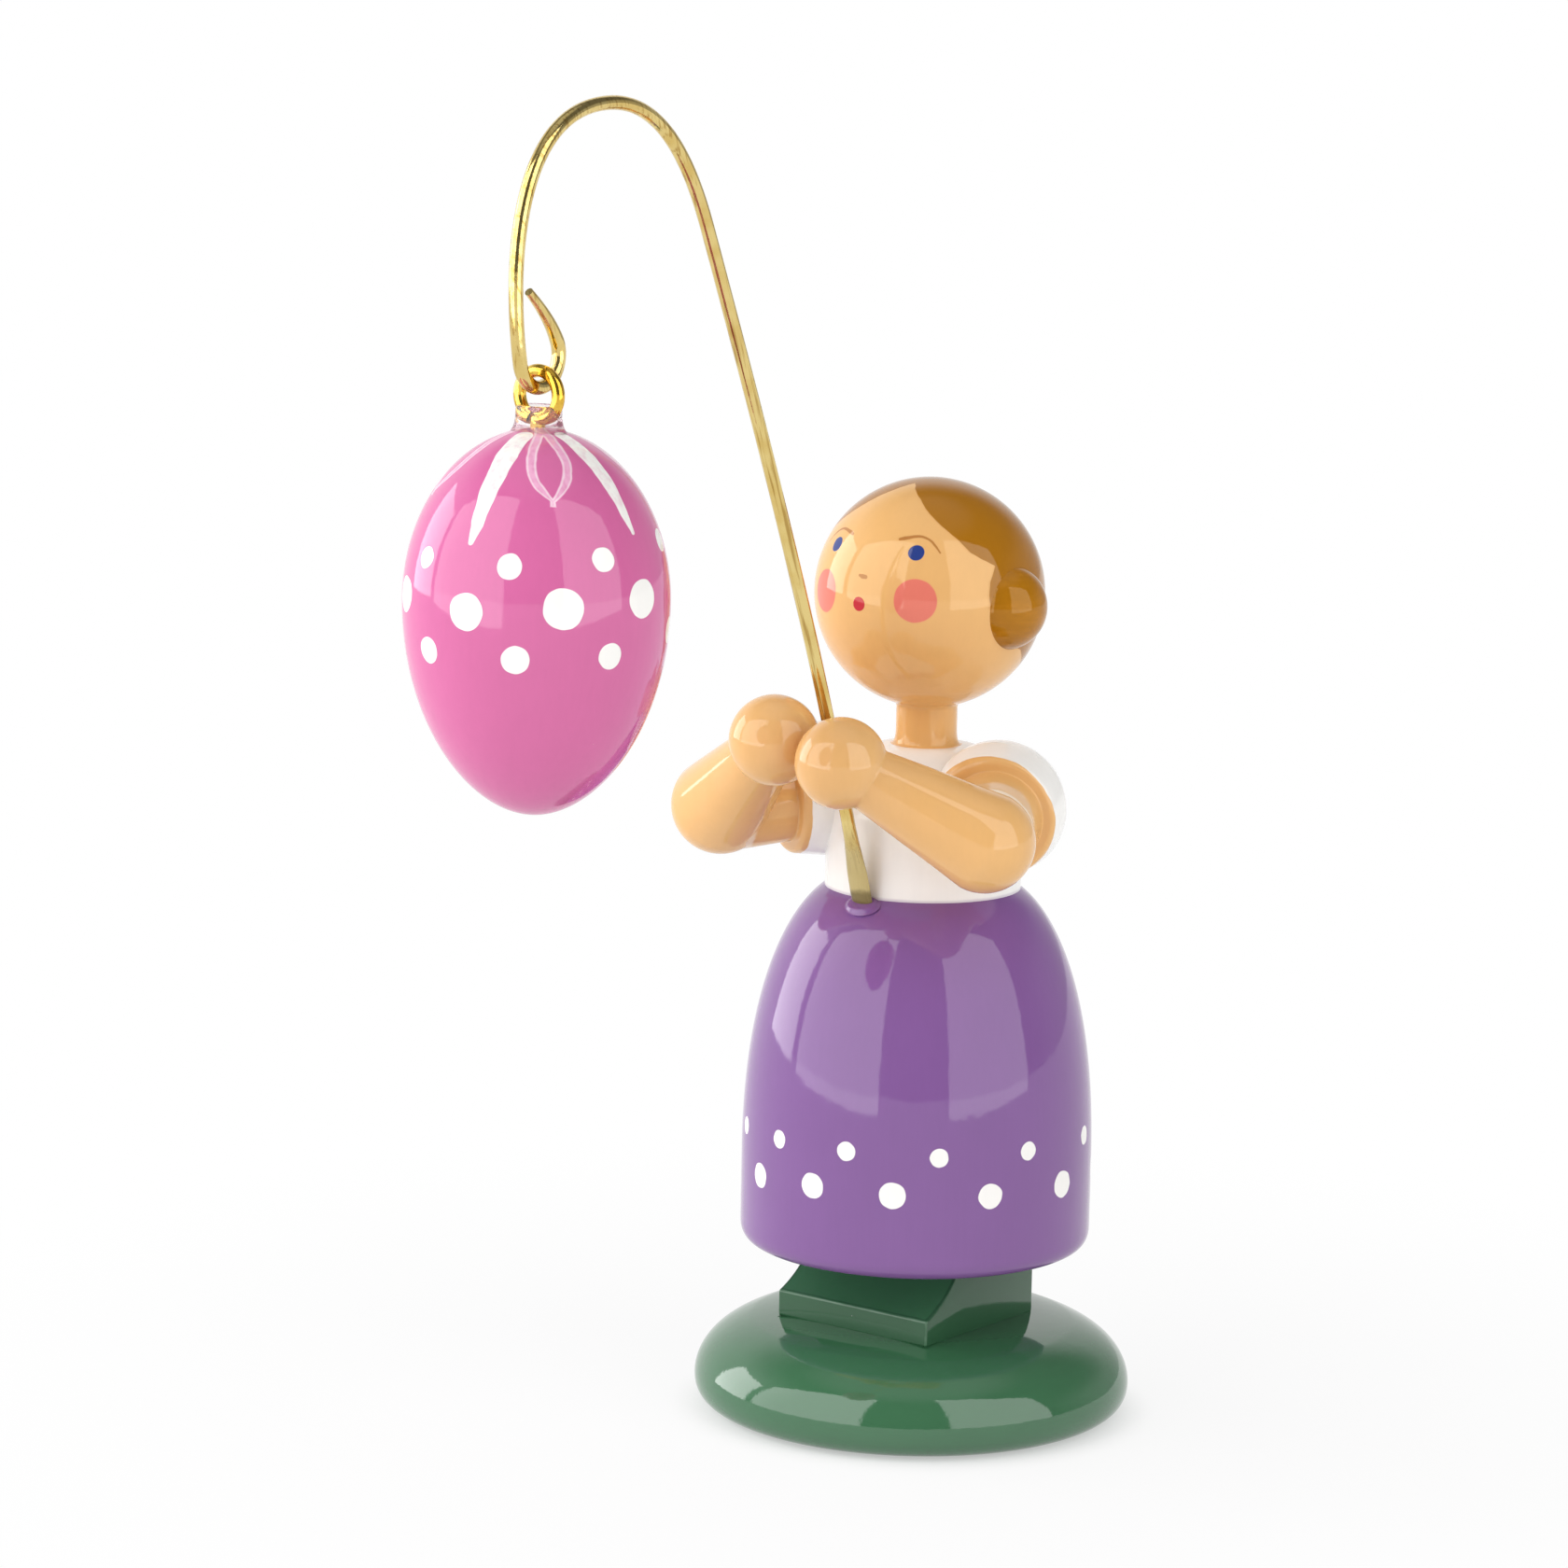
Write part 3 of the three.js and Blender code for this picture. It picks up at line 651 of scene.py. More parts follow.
headLook = dict(
    seat=50.7, foot=2.7, neckBase=51.3, neck=2.3, flare=1.2,
    radius=8.65, centre=62.729, fillet=0.3, sides=144,
    faceTurn=1.5,         # the face is painted a little to the figure's right
    eye=(27.9, 26.8, 0.60), cheek=(28.6, 3.0, 1.62),
    mouth=(-1.3, -0.5, 0.53),
    nose=[(-2.3, 13.5), (-0.4, 13.1), (1.6, 12.9)], noseWidths=(0.10, 0.17, 0.15),
    brow=[
        (17.5, 33.5), (20.1, 34.2), (22.7, 34.7), (25.4, 35.2), (28.1, 35.4), (30.5, 35.3), (32.8, 34.7),
        (34.7, 33.8), (36.4, 32.6), (38.8, 30.1), (40.9, 27.0)],
    browWidths=(0.12, 0.15, 0.13, 0.12, 0.11, 0.10, 0.10, 0.09, 0.09, 0.08, 0.06),
    # where the hair starts, degrees round from the face, by height over the head's centre
    hairLine=[
        (-8.4, 180), (-7.3, 180), (-6.65, 142), (-5.58, 118), (-4.37, 104), (-3.61, 96), (-3.07, 84),
        (-2.19, 76.4), (-1.34, 70.6), (-0.14, 66.9), (0.85, 66.2), (1.75, 67.2), (2.95, 71.4), (3.07, 69.3),
        (3.47, 63.6), (3.93, 58.0), (4.81, 52.0), (5.63, 43.8), (6.51, 34.8), (7.45, 25.0), (7.95, 15.5),
        (8.25, 8.0), (8.36, 0)],
    surface={"Specular Tint": (1, 0.92, 0.76, 1)}, shake=(0.1, 0.9), rimAt=0.08,
    # rim and rimAt: the painted highlight along the hair's edge
    edges={"hair": 0.05, "rim": 0.12, "spot": 0.03, "cheek": 0.06, "stroke": 0.04},
    shares={"cheek": 0.95, "brow": 0.8, "nose": 0.75, "rim": 0.7},
)

bunLook = dict(
    azimuth=91.5, turn=5.5, elevation=-3, radius=3.25, centre=7.0, sunk=12, sides=80,
    surface={"Specular Tint": (1, 0.82, 0.5, 1)},
    cloud=(0.5, 0.5, 2.2),
    cloudScale=0.9, cloudDetail=2, cloudEdge=(0.35, 0.95), cloudShare=0.35,
)


def whiteFinish(look):
    finish, point = newFinish("white_lacquer")
    z = parts(wobbled(point, *look["shake"]))[2]
    hem = (1 - ease(z, *look["hem"])) * look["hemShare"]
    lacquered(point, blended(paints["white"], paints["violet"], hem))
    return finish


def onHead(angles, radius):
    up = math.radians(angles[1])
    return roundAbout(angles[0], radius * math.cos(up), radius * math.sin(up))


def headFinish(look):
    finish, point = newFinish("painted_head", look["surface"], (0, 0, look["centre"]), look["faceTurn"])
    painted = wobbled(point, *look["shake"])
    x, y, z = parts(painted)
    half = joined(abs(x), y, z)  # left and right of the face are painted alike
    radius, edges, shares = look["radius"], look["edges"], look["shares"]
    around = y.maths("ARCTAN2", abs(x), 0 - y) * (1 / math.pi)
    lift = (z + radius) / (2 * radius)
    line = lift.node("ShaderNodeValToRGB", {
        "stops": [((h + radius) / (2 * radius), a / 180) for h, a in look["hairLine"]],
    }, {0: lift})
    hairGap = (line - around) * (math.pi * radius)
    hair = inside(hairGap, edges["hair"])
    # painted highlight: a paler orange line along the hair's edge
    hairBorderHighlight = inside(abs(hairGap - look["rimAt"]), edges["rim"])

    def spot(where, name, edge):
        turn, up, size = look[name]
        return inside(spots(where, [(onHead((turn, up), radius), size)]), edges[edge])

    def stroke(where, name):
        way = [onHead(place, radius) for place in look[name]]
        return inside(strokeGap(where, way, look[name + "Widths"]), edges["stroke"])

    eyes, cheeks = spot(half, "eye", "spot"), spot(half, "cheek", "cheek")
    mouth = spot(painted, "mouth", "spot")
    brows, nose = stroke(half, "brow"), stroke(painted, "nose")
    colour = paints["flesh"]
    for paint, cover in (
            ("cheek", cheeks * shares["cheek"]), ("brow", brows * shares["brow"]),
            ("brow", nose * shares["nose"]), ("lips", mouth), ("eye", eyes),
            ("hairPaleAndHighlight", hairBorderHighlight * shares["rim"]), ("hair", hair)):
        colour = blended(colour, paints[paint], cover)
    relief = nearest([1 - mouth, 1 - eyes, 1 - hair])
    lacquered(point, colour, 1 - relief, **fineGrain)
    return finish


def makeBlouse(look, finish):
    radius, neck, low, top = look["radius"], look["neck"], look["bottom"], look["top"]
    outline = [(0, low), (radius, low)]
    outline += arc((neck, look["shoulder"]), (radius - neck, top - look["shoulder"]), 0, 90, 28)
    outline += [(1.2, top), (0, top)]
    piece = turnPiece("blouse_body", outline, look["sides"])
    finishPiece(piece, "figure", finish, ["blouse"])


def makeHead(look, finish):
    base, neck = look["neckBase"], look["neck"]
    rise = (neck, base + look["flare"])
    reach = math.sqrt(look["radius"] ** 2 - neck ** 2)
    startAngle = -math.degrees(math.asin(reach / look["radius"]))
    ball = arc((0, look["centre"]), (look["radius"],) * 2, startAngle, 90, 72)
    joint = (neck, look["centre"] - reach)
    outline = [(0, look["seat"]), (look["foot"], look["seat"])]
    outline += curveBy((look["foot"], base), (neck, base), rise, 8)
    outline += corner(rise, joint, ball[2], look["fillet"])
    outline += ball[2:]
    piece = turnPiece("head_ball", outline, look["sides"])
    finishPiece(piece, "figure", finish, ["head"])


def makeBun(side, word, look, finish):
    skull, ball, centre = headLook["radius"], look["radius"], look["centre"]
    ring = (skull ** 2 + centre ** 2 - ball ** 2) / (2 * centre)  # where the two balls meet
    startAngle = math.degrees(math.asin((ring - centre) / ball)) - look["sunk"]
    outline = [(0, ring - 1)] + arc((0, centre), (ball, ball), startAngle, 90, 28)
    piece = turnPiece("bun_" + word + "_hair", outline, look["sides"])
    x, y, z = onHead((look["azimuth"] - side * look["turn"], look["elevation"]), 1)
    layAlong(piece, (0, 0, headLook["centre"]), (side * x, y, z))
    finishPiece(piece, "figure", finish, ["bun_" + word])


hairPaint = cloudedFinish("hair_lacquer", "hair", "hairPaleAndHighlight", bunLook)
makeBlouse(blouseLook, whiteFinish(blouseLook))
makeHead(headLook, headFinish(headLook))
sides = {"left": 1, "right": -1}
for word, side in sides.items():
    makeBun(side, word, bunLook, hairPaint)


# arms

armLook = dict(
    shoulders={"left": (7.6, -1.5, 47.4), "right": (-7.6, -3.1, 47.4)},
    elbows={"left": (11.9, -9.7, 46.5), "right": (-11.9, -9.7, 46.5)},
    hands={"left": (3.363, -15.86, 52.08), "right": (-3.363, -14.8, 52.92)},
    sleeve=5.1, cuff=4.5, cuffReach=3.0, cuffRound=0.4, arm=3.6,
    elbowBall=3.75, wrist=2.35, hand=3.38, wristFillet=0.14, sides=88,
    throatRound=0.14, armRound=0.5, armShort=0.2,
    # where the white of the sleeve ends: which way the brush's edge faces, how far from the shoulder
    paintEdges={"left": ((0.295, -0.932, -0.21), 1.9), "right": ((-0.542, -0.832, -0.113), 2.35)},
    shake=(0.22, 0.8), paintEdge=0.04,
    seamAt=0.16, seamEdge=0.08, glueShare=0.8,  # paler glue in the joint at the elbow
    # the flesh coat lets a paler ground through in places
    cloudScale=0.22, cloudDetail=3, cloudEdge=(0.4, 0.75), cloudShare=0.06,
)


def armFinish(word, look):
    finish, point = newFinish("sleeve_and_arm_" + word)
    painted = wobbled(point, *look["shake"])
    edgeWay, edgeAt = look["paintEdges"][word]
    along = vectorMaths(painted, "DOT_PRODUCT", vectorMaths(
        painted, "SUBTRACT", painted, look["shoulders"][word]), edgeWay, output=1)
    flesh = ease(along, edgeAt - look["paintEdge"], edgeAt + look["paintEdge"])
    elbow = away(painted, look["elbows"][word])
    seam = inside(elbow - (look["elbowBall"] + look["seamAt"]), look["seamEdge"])
    colour = blended(paints["white"], paints["flesh"], flesh)
    lacquered(point, blended(colour, paints["glue"], seam * look["glueShare"]), seam, **fineGrain)
    return finish


def makeUpperArm(word, look):
    shoulder = Vector(look["shoulders"][word])
    run = Vector(look["elbows"][word]) - shoulder
    sleeve, cuff, arm, reach = look["sleeve"], look["cuff"], look["arm"], look["cuffReach"]
    rim, throat = (cuff, reach), (arm, reach)
    outline = arc((0, 0), (sleeve, sleeve), -90, 4, 22)
    outline += corner(outline[-1], rim, throat, look["cuffRound"], 8)
    outline += corner(rim, throat, (arm, run.length), look["throatRound"], 4)
    tip = run.length - look["armShort"]
    outline += [(arm, (reach + run.length) / 2), (arm, run.length - look["armRound"])]
    outline += [(arm / 2, tip), (0, tip)]
    piece = turnPiece("sleeve_" + word, outline, look["sides"])
    layAlong(piece, shoulder, run)
    finishPiece(piece, "figure", armFinish(word, look), ["upper_arm_" + word])


def makeForearm(word, look, finish):
    elbow = Vector(look["elbows"][word])
    run = Vector(look["hands"][word]) - elbow
    thick, thin, hand = look["elbowBall"], look["wrist"], look["hand"]
    wristAngle = math.asin(thin / hand)
    wristAt = run.length - hand * math.cos(wristAngle)
    ball = arc((0, run.length), (hand, hand), math.degrees(wristAngle) - 90, 90, 40)
    outline = arc((0, 0), (thick, thick), -90, 0, 28)
    outline += [(thick + (thin - thick) * k / 6, wristAt * k / 6) for k in range(1, 6)]
    outline += corner(outline[-1], (thin, wristAt), ball[2], look["wristFillet"])
    outline += ball[2:]
    piece = turnPiece("forearm_" + word + "_hand", outline, look["sides"])
    layAlong(piece, elbow, run)
    finishPiece(piece, "figure", finish, ["forearm_" + word])


fleshPaint = cloudedFinish("flesh_lacquer", "flesh", "glue", armLook, **fineGrain)
for word in sides:
    makeUpperArm(word, armLook)
    makeForearm(word, armLook, fleshPaint)


# staff

staffLook = dict(
    wire=0.5, foot=(-7.989, 40.46), footLean=18, footDepth=5, footTop=3.6,
    bend=(-28.5, 90.8), bendLean=25, bendPull=4,
    crest=(-39.8, 100.0), crestBack=6.5, crestAhead=10.5, dropPull=6.5,
    hang=(-47.3, 81.15), loop=2.1, loopEntry=12, loopOverrun=28,
    tailPull=1.8, tailRise=3.4, tailGap=0.08, tailEnd=0.3,
    # flattened foot: distance up from the waist, half width, half thickness
    blade=[
        (-5.5, 0.78, 0.27), (-0.4, 0.90, 0.27), (0.6, 0.94, 0.275), (2.2, 0.90, 0.30), (3.6, 0.74, 0.38),
        (5.2, 0.54, 0.48), (6.2, 0.5, 0.5)],
    bladeNear=3, ringsPerMm=12, endRound=0.16,
)

metalLook = dict(  # what all the brass here shares
    lineScale=3.0, lineEdge=(0.5, 0.66), lineShare=0.7, lineRough=0.12, lineHeight=0.006,
    patchScale=0.5, patchEdge=(0.35, 0.7), patchRough=0.06, dentScale=1.4, dentHeight=0.01,
)

brassLook = dict(
    tones=(linear("#E2CB86"), linear("#D6B96E"), linear("#A37C36")), roughness=0.10,
    drawn=(1.3, 1.3, 0.05), drawnLean=0.42,
    # the hammered foot is dull, and darker where it enters the skirt: a glue stain and a painted shade
    foot={
        "dullFrom": (44.0, 46.5), "dullTone": linear("#B9A876"), "dullRough": 0.2, "dullMetal": 0.45,
        "stainAndShadeFrom": (40.6, 41.3), "stainAndShadeTone": linear("#5E4E2A"), "share": 0.75, "ragged": 2,
    },
)


def brassFinish(name, look):
    look = {**metalLook, **look}
    finish, point = newFinish(name, {"Metallic": 1})
    x, y, z = parts(point)
    along = stretched(joined(x, y + z * look["drawnLean"], z), look["drawn"])
    lines = noise(along, look["lineScale"], 3, 0.65)
    patches = noise(point, look["patchScale"], 3)
    bright, warm, dark = look["tones"]
    colour = blended(bright, warm, ease(patches, *look["patchEdge"]))
    colour = blended(colour, dark, ease(lines, *look["lineEdge"]) * look["lineShare"])
    lineRough, patchRough = look["lineRough"], look["patchRough"]
    rough = lines * lineRough + patches * patchRough + (look["roughness"] - (lineRough + patchRough) / 2)
    foot = look.get("foot")
    if foot:
        height = z + (patches - 0.5) * foot["ragged"]
        dull = 1 - ease(height, *foot["dullFrom"])
        # a glue stain and a painted shade: darker where the blade enters the skirt
        stainAndShade = 1 - ease(height, *foot["stainAndShadeFrom"])
        colour = blended(colour, foot["dullTone"], dull * foot["share"])
        colour = blended(colour, foot["stainAndShadeTone"], stainAndShade * foot["share"])
        rough = rough + dull * foot["dullRough"]
        metal = 1 - dull * foot["dullMetal"]
        point.tree.links.new(metal.socket, surfaceOf(point).inputs["Metallic"])
    dents = noise(point, look["dentScale"], 1) * look["dentHeight"]
    plug(point, colour, rough, lines * look["lineHeight"] + dents)
    return finish


def leaning(degrees):
    return Vector((-math.sin(math.radians(degrees)), math.cos(math.radians(degrees))))


# a knot is (left handle, point, right handle), in the wire's own plane

def loopKnots(centre, radius, first, last, count, lead):  # lead: the handle that leads into the loop
    step = (last - first) / count
    reach = 4 / 3 * math.tan(math.radians(step) / 4) * radius
    knots = []
    for i in range(count + 1):
        angle = first + step * i
        spot = centre + leaning(angle - 90) * radius
        ahead = leaning(angle) * reach
        knots.append((spot - (ahead if i else lead), spot, spot + ahead))
    return knots


def staffKnots(look):
    foot, footUp = Vector(look["foot"]), leaning(look["footLean"])
    low = foot - footUp * look["footDepth"]
    start = foot + footUp * look["footTop"]
    bend, bendUp = Vector(look["bend"]), leaning(look["bendLean"])
    pull = (bend - start).length / 3
    crest = Vector(look["crest"])
    knots = [
        (low.lerp(start, -1 / 3), low, low.lerp(start, 1 / 3)),
        (low.lerp(start, 2 / 3), start, start + footUp * pull),
        (bend - bendUp * pull, bend, bend + bendUp * look["bendPull"]),
        (crest + Vector((look["crestBack"], 0)), crest, crest - Vector((look["crestAhead"], 0))),
    ]
    radius = look["loop"]
    centre = Vector(look["hang"]) + Vector((0, radius))
    first, last = 180 + look["loopEntry"], 360 + look["loopOverrun"]
    knots += loopKnots(centre, radius, first, last, 4, leaning(first) * look["dropPull"])
    tailStart = knots[-1][1]
    tailBend = tailStart + leaning(last) * look["tailPull"]
    tipAt = centre.x - radius + look["wire"] + look["tailEnd"] + look["tailGap"]
    tip = Vector((tipAt, tailStart.y + look["tailRise"]))
    knots[-1] = (knots[-1][0], tailStart, tailStart.lerp(tailBend, 2 / 3))
    knots.append((tip.lerp(tailBend, 2 / 3), tip, tip.lerp(tailBend, -0.5)))
    return knots


def wireAlong(name, knots, radius, plane, end=1, roundness=6, steps=40):  # end: how thin its last end is
    clearSelection()
    bpy.ops.curve.primitive_bezier_curve_add(location=(0, 0, 0))
    wire = bpy.context.object
    wire.name = name
    wire.data.dimensions = "3D"
    wire.data.twist_mode = "MINIMUM"
    wire.data.resolution_u = steps
    wire.data.bevel_depth = radius * mm
    wire.data.bevel_resolution = roundness
    wire.data.use_fill_caps = True
    spline = wire.data.splines[0]
    spline.bezier_points.add(len(knots) - len(spline.bezier_points))
    for point, (left, spot, right) in zip(spline.bezier_points, knots):
        point.handle_left_type = point.handle_right_type = "FREE"
        point.co = plane(spot) * mm
        point.handle_left = plane(left) * mm
        point.handle_right = plane(right) * mm
    spline.bezier_points[-1].radius = end
    pick(wire)
    bpy.ops.object.convert(target="MESH")
    wire = bpy.context.object
    wire.data.name = name
    return wire


endSteps = [(0.25, 0.55), (0.45, 0.35), (0.7, 0.1)]  # in and out, as shares of the rounding


def softenEnds(piece, size):  # rounds off the cut ends of a wire
    pick(piece)
    bpy.ops.object.mode_set(mode="EDIT")
    weld()
    selectFaces(piece, lambda face: len(face.verts) > 4)
    for thick, deep in endSteps:
        bpy.ops.mesh.inset(thickness=thick * size * mm, depth=deep * size * mm)
    closeMesh()


def bladeSize(look, height):
    for (h0, w0, t0), (h1, w1, t1) in zip(look["blade"], look["blade"][1:]):
        if h0 <= height <= h1:
            share = (height - h0) / (h1 - h0)
            return w0 + (w1 - w0) * share, t0 + (t1 - t0) * share
    return None


def flattenFoot(piece, look):  # the foot is stood plumb, hammered flat ring by ring, and leant back
    lean = math.radians(look["footLean"])
    pivot = Vector((0, *look["foot"])) * mm
    piece.matrix_world = Matrix.Rotation(-lean, 4, "X") @ Matrix.Translation(-pivot)
    applyPlace(piece)
    bpy.ops.object.mode_set(mode="EDIT")
    mesh = bmesh.from_edit_mesh(piece.data)
    rings = {}
    for vert in mesh.verts:
        if vert.co.z < look["blade"][-1][0] * mm and abs(vert.co.y) < look["bladeNear"] * mm:
            rings.setdefault(round(vert.co.z / mm * look["ringsPerMm"]), []).append(vert.index)
    for ring in rings.values():
        mesh = bmesh.from_edit_mesh(piece.data)
        mesh.verts.ensure_lookup_table()
        selectAll(False)
        heights = [mesh.verts[i].co.z / mm for i in ring]
        depths = [mesh.verts[i].co.y for i in ring]
        height = sum(heights) / len(heights)
        size = bladeSize(look, height)
        if size is None:
            continue
        for i in ring:
            mesh.verts[i].select = True
        bmesh.update_edit_mesh(piece.data)
        middle = (0, (min(depths) + max(depths)) / 2, height * mm)
        spread = (size[0] / look["wire"], size[1] / look["wire"], 1)
        bpy.ops.transform.resize(value=spread, center_override=middle)
    bpy.ops.object.mode_set(mode="OBJECT")
    piece.matrix_world = Matrix.Translation(pivot) @ Matrix.Rotation(lean, 4, "X")
    applyPlace(piece)


def makeStaff(look, finish):
    piece = wireAlong("staff_wire", staffKnots(look), look["wire"], lambda p: Vector((0, p.x, p.y)),
                      look["tailEnd"] / look["wire"])
    flattenFoot(piece, look)
    softenEnds(piece, look["endRound"])
    finishPiece(piece, "figure", finish, ["staff"])


makeStaff(staffLook, brassFinish("brass_wire", brassLook))


# bead of lacquer round the staff's foot

beadLook = dict(
    centre=(0, -7.95, 40.07), lean=34, radius=1.35, height=0.26, squash=0.72, sides=48,
    # its outline: shares of the radius, then millimetres for the sunk part and shares of the height above
    sunk=[(0, -0.7), (0.8, -0.6), (1.15, -0.06)],
    swell=[(0.9, 0), (0.95, 1), (0.62, 1)], crown=[(0.35, 0.9), (0, 0.85)],
)


def makeBead(look, finish):
    r, h = look["radius"], look["height"]
    outline = [(r * a, b) for a, b in look["sunk"]]
    outline += bezier(outline[-1], *[(r * a, h * b) for a, b in look["swell"]], 10)[1:]
    outline += [(r * a, h * b) for a, b in look["crown"]]
    piece = turnPiece("staff_foot_bead", outline, look["sides"])
    lean = math.radians(look["lean"])
    piece.scale = (1, look["squash"], 1)
    applyPlace(piece)
    layAlong(piece, look["centre"], (0, -math.sin(lean), math.cos(lean)))
    finishPiece(piece, "figure", finish)


makeBead(beadLook, violetPaint)


# egg, its eye and the lacquer collar

hangAt = staffLook["hang"][0]  # how far forward they hang

eggLook = dict(
    girth=66.75, radius=9.1, upper=11.7, lower=14.7,
    tipPull=4.3, sidePull=8.6, lowerCurve=0.0024, sides=160,
    # white dots: degrees round from the front, height over the girth, radius
    dots=[
        (-63.5, 3.4, 0.78), (-19.2, 3.4, 0.76), (26.4, 3.35, 0.85), (69.1, 3.75, 0.84), (116.1, 4.45, 0.80),
        (161, 3.6, 0.82), (206, 3.5, 0.8), (251, 3.4, 0.83),
        (-36.2, 0.65, 1.22), (7.2, 0.2, 1.28), (49.7, 0.62, 1.4), (89.7, 0.95, 1.32), (134, 0.7, 1.3),
        (179, 0.4, 1.34), (224, 0.5, 1.3), (270, 0.4, 1.28),
        (-59.5, -2.8, 0.9), (-14.9, -2.75, 0.88), (29.5, -2.85, 0.95), (71.9, -2.7, 0.9), (119, -1.7, 0.95),
        (161, -2.7, 0.9), (206, -2.8, 0.93), (252, -2.8, 0.9)],
    # white strokes run down from the eye: degrees at top and bottom, height of the tip over the girth, width
    strokes=[
        (11.5, 6.6, 4.75, 1.22), (83.0, 89.8, 5.3, 0.98), (175, 180, 5.0, 1.1), (-93, -90, 5.1, 1.05)],
    strokeHeights=[11.35, 10.2, 8.4], strokeTip=1.2, strokeShape=(0.56, 0.66, 0.58, 0.38, 0.17),
    # petals are drawn as loops: a line that bows out to both sides of its middle
    loops=[46.5, 135, 225, -44],
    loopTip=7.5, loopTop=11.6, loopSpread=1.22, loopWidth=0.36, loopFull=0.85,
    lift=0.16, liftFrom=(-0.02, 0.22),   # the brush lifts off at the tip
    loopEnd=0.52, loopEndSlope=6,
    rimAt=0.1, rimWidth=0.06,            # thin paint runs to the sides of the brush
    shake=(0.2, 0.8), edges={"dot": 0.03, "stroke": 0.04, "petal": 0.05},
    brush=(1, 1, 0.25), brushScale=2.2, brushEdge=(0.25, 0.6),
    petalCover=(0.35, 0.5), rimCover=0.45, strokeCover=(0.25, 0.75), petalRelief=0.6,
)

eyeLook = dict(
    wire=0.45, ring=1.65, centre=80.65, shank=72.4, gap=16,
    bendOut=0.35, endRound=0.12,
)

goldLook = dict(
    tones=(linear("#EDC75C"), linear("#DFB142"), linear("#B98B35")), roughness=0.11,
    drawn=(1, 1, 1), drawnLean=0,
)

collarLook = dict(
    squash=0.78, sides=64,
    # the flat foot, then curves up the side, over the lip and into the dip: two handles, the end, the steps
    foot=[(0, 77.6), (1.5, 77.6), (2.5, 77.88)],
    curves=[
        ((1.92, 78.2), (1.72, 78.6), (1.72, 79.5), 10), ((1.72, 80.0), (1.52, 80.05), (1.17, 79.9), 8),
        ((0.8, 79.7), (0.6, 79.3), (0, 79.3), 6)],
    surface={"Transmission Weight": 0.92, "IOR": 1.3}, tones=(linear("#FFFCFB"), linear("#F3CFE0")),
    cloudScale=0.9, cloudEdge=(0.45, 0.8), cloudRough=(0.1, 0.05),
    waveScale=1.2, waveHeight=0.07,
)


def onEgg(look, angle, height):  # height over the girth
    if height > 0:
        share = math.sqrt(max(0, 1 - (height / look["upper"]) ** 2))
    else:
        share = 1 - look["lowerCurve"] * height * height
    return roundAbout(angle, look["radius"] * share, height)


def eggFinish(look):
    finish, point = newFinish("painted_egg", centre=(0, hangAt, look["girth"]))
    edges = look["edges"]
    painted = wobbled(point, *look["shake"])
    dots = inside(spots(painted, [(onEgg(look, a, h), r) for a, h, r in look["dots"]]), edges["dot"])
    strokes = []
    for top, bottom, low, width in look["strokes"]:
        heights = look["strokeHeights"] + [low + look["strokeTip"], low]
        turns = [top + (bottom - top) * k / 4 for k in range(5)]
        line = [onEgg(look, a, h) for a, h in zip(turns, heights)]
        strokes.append(strokeGap(painted, line, [width * w for w in look["strokeShape"]]))
    brush = ease(noise(stretched(point, look["brush"]), look["brushScale"], 3), *look["brushEdge"])
    white = inside(nearest(strokes), edges["stroke"])
    x, y, z = parts(painted)
    around = y.maths("ARCTAN2", x, 0 - y) * (180 / math.pi)
    spread = x.maths("SQRT", x * x + y * y) * (math.pi / 180)
    rise = (z - look["loopTip"]) / (look["loopTop"] - look["loopTip"])
    bow = x.maths("SINE", x.node("ShaderNodeClamp", {}, {0: rise}) * math.pi)
    bow = bow.maths("POWER", bow, look["loopFull"]) * look["loopSpread"]
    loops = []
    for centre in look["loops"]:
        aside = abs(around.maths("WRAP", around - centre, 180, -180)) * spread
        off = abs(aside - bow) + (1 - ease(rise, *look["liftFrom"])) * look["lift"]
        beyond = (abs(rise - 0.5) - look["loopEnd"]) * look["loopEndSlope"]
        loops.append(off.maths("MAXIMUM", off, beyond) - look["loopWidth"])
    loopGap = nearest(loops)
    petals = inside(loopGap, edges["petal"])
    petalRim = inside(abs(loopGap + look["rimAt"]) - look["rimWidth"], edges["petal"])
    gain, least = look["petalCover"]
    colour = blended(paints["pink"], paints["petal"], petals * (brush * gain + least))
    colour = blended(colour, paints["white"], petalRim * look["rimCover"])
    gain, least = look["strokeCover"]
    colour = blended(colour, paints["white"], white * (brush * gain + least))
    colour = blended(colour, paints["white"], dots)
    relief = white.maths("MAXIMUM", white, petals * look["petalRelief"])
    lacquered(point, colour, dots.maths("MAXIMUM", dots, relief))
    return finish


def makeEgg(look, finish):
    girth, radius = look["girth"], look["radius"]
    bottom = girth - look["lower"]
    side = (radius, girth - look["sidePull"])
    outline = bezier((0, bottom), (look["tipPull"], bottom), side, (radius, girth), 48)
    outline += arc((0, girth), (radius, look["upper"]), 0, 90, 44)[1:]
    piece = turnPiece("egg_body", outline, look["sides"])
    piece.location = (0, hangAt * mm, 0)
    applyPlace(piece)
    finishPiece(piece, "hanging_egg", finish, ["egg"])


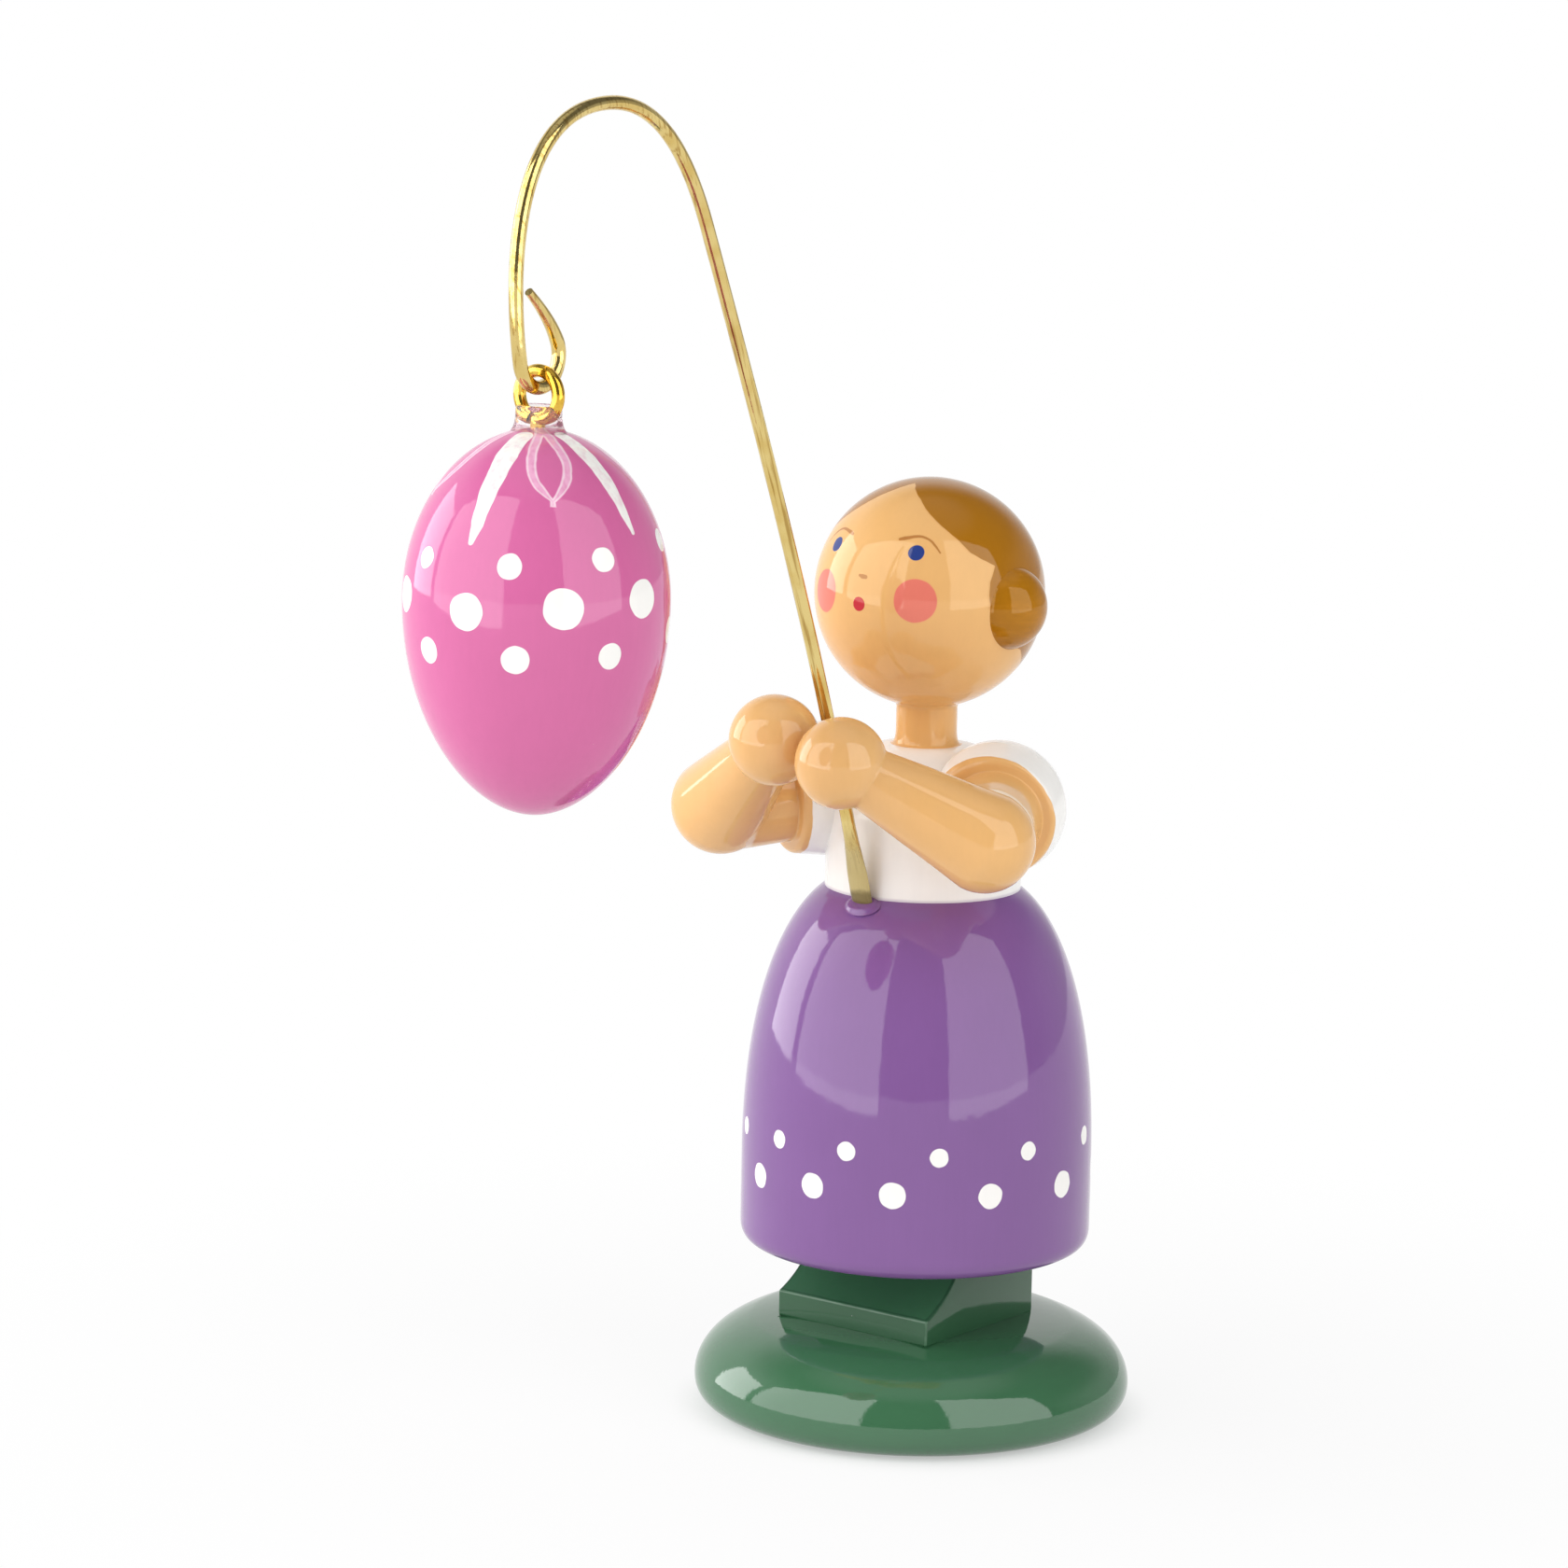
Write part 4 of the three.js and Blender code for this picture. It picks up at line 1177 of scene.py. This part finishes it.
def makeEye(look, finish):
    radius, centre = look["ring"], Vector((0, look["centre"]))
    low = Vector((0, look["shank"]))
    throat = centre - Vector((0, radius))
    knots = [(low.lerp(throat, -1 / 3), low, low.lerp(throat, 1 / 3))]
    knots += loopKnots(centre, radius, -90, 270 - look["gap"], 8, Vector((0, look["bendOut"])))
    piece = wireAlong("screw_eye_ring", knots, look["wire"],
                      lambda p: Vector((p.x, hangAt, p.y)), steps=16)
    softenEnds(piece, look["endRound"])
    finishPiece(piece, "hanging_egg", finish, ["screw_eye"])


def collarFinish(look):
    finish, point = newFinish("clear_collar", look["surface"])
    cloud = noise(point, look["cloudScale"], 2)
    gain, least = look["cloudRough"]
    waves = noise(point, look["waveScale"], 2) * look["waveHeight"]
    colour = blended(*look["tones"], ease(cloud, *look["cloudEdge"]))
    plug(point, colour, cloud * gain + least, waves)
    return finish


def makeCollar(look, finish):
    outline = list(look["foot"])
    for *way, steps in look["curves"]:
        outline += bezier(outline[-1], *way, steps)[1:]
    piece = turnPiece("eye_collar", outline, look["sides"])
    piece.scale = (1, look["squash"], 1)
    piece.location = (0, hangAt * mm, 0)
    applyPlace(piece)
    finishPiece(piece, "hanging_egg", finish)


makeEgg(eggLook, eggFinish(eggLook))
makeEye(eyeLook, brassFinish("gold_brass", goldLook))
makeCollar(collarLook, collarFinish(collarLook))


# the dowels inside keep their CAD shape and are bare wood

woodLook = dict(
    grain=(1.6, 1.6, 0.15), grainScale=1.8, grainEdge=(0.4, 0.7), grainHeight=0.03,
    grainRough=0.2, roughness=0.55,
)


def woodFinish(look):
    finish, point = newFinish("bare_wood")
    grain = noise(stretched(point, look["grain"]), look["grainScale"], 4, 0.65)
    colour = blended(paints["wood"], paints["woodDark"], ease(grain, *look["grainEdge"]))
    rough = grain * look["grainRough"] + look["roughness"]
    plug(point, colour, rough, grain * look["grainHeight"])
    return finish


woodPaint = woodFinish(woodLook)
for nodeName in ("base_dowel", "shoulder_dowel_left", "shoulder_dowel_right"):
    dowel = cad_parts[nodeName]
    dowel.data.materials.clear()
    dowel.data.materials.append(woodPaint)
print("dowels finished")
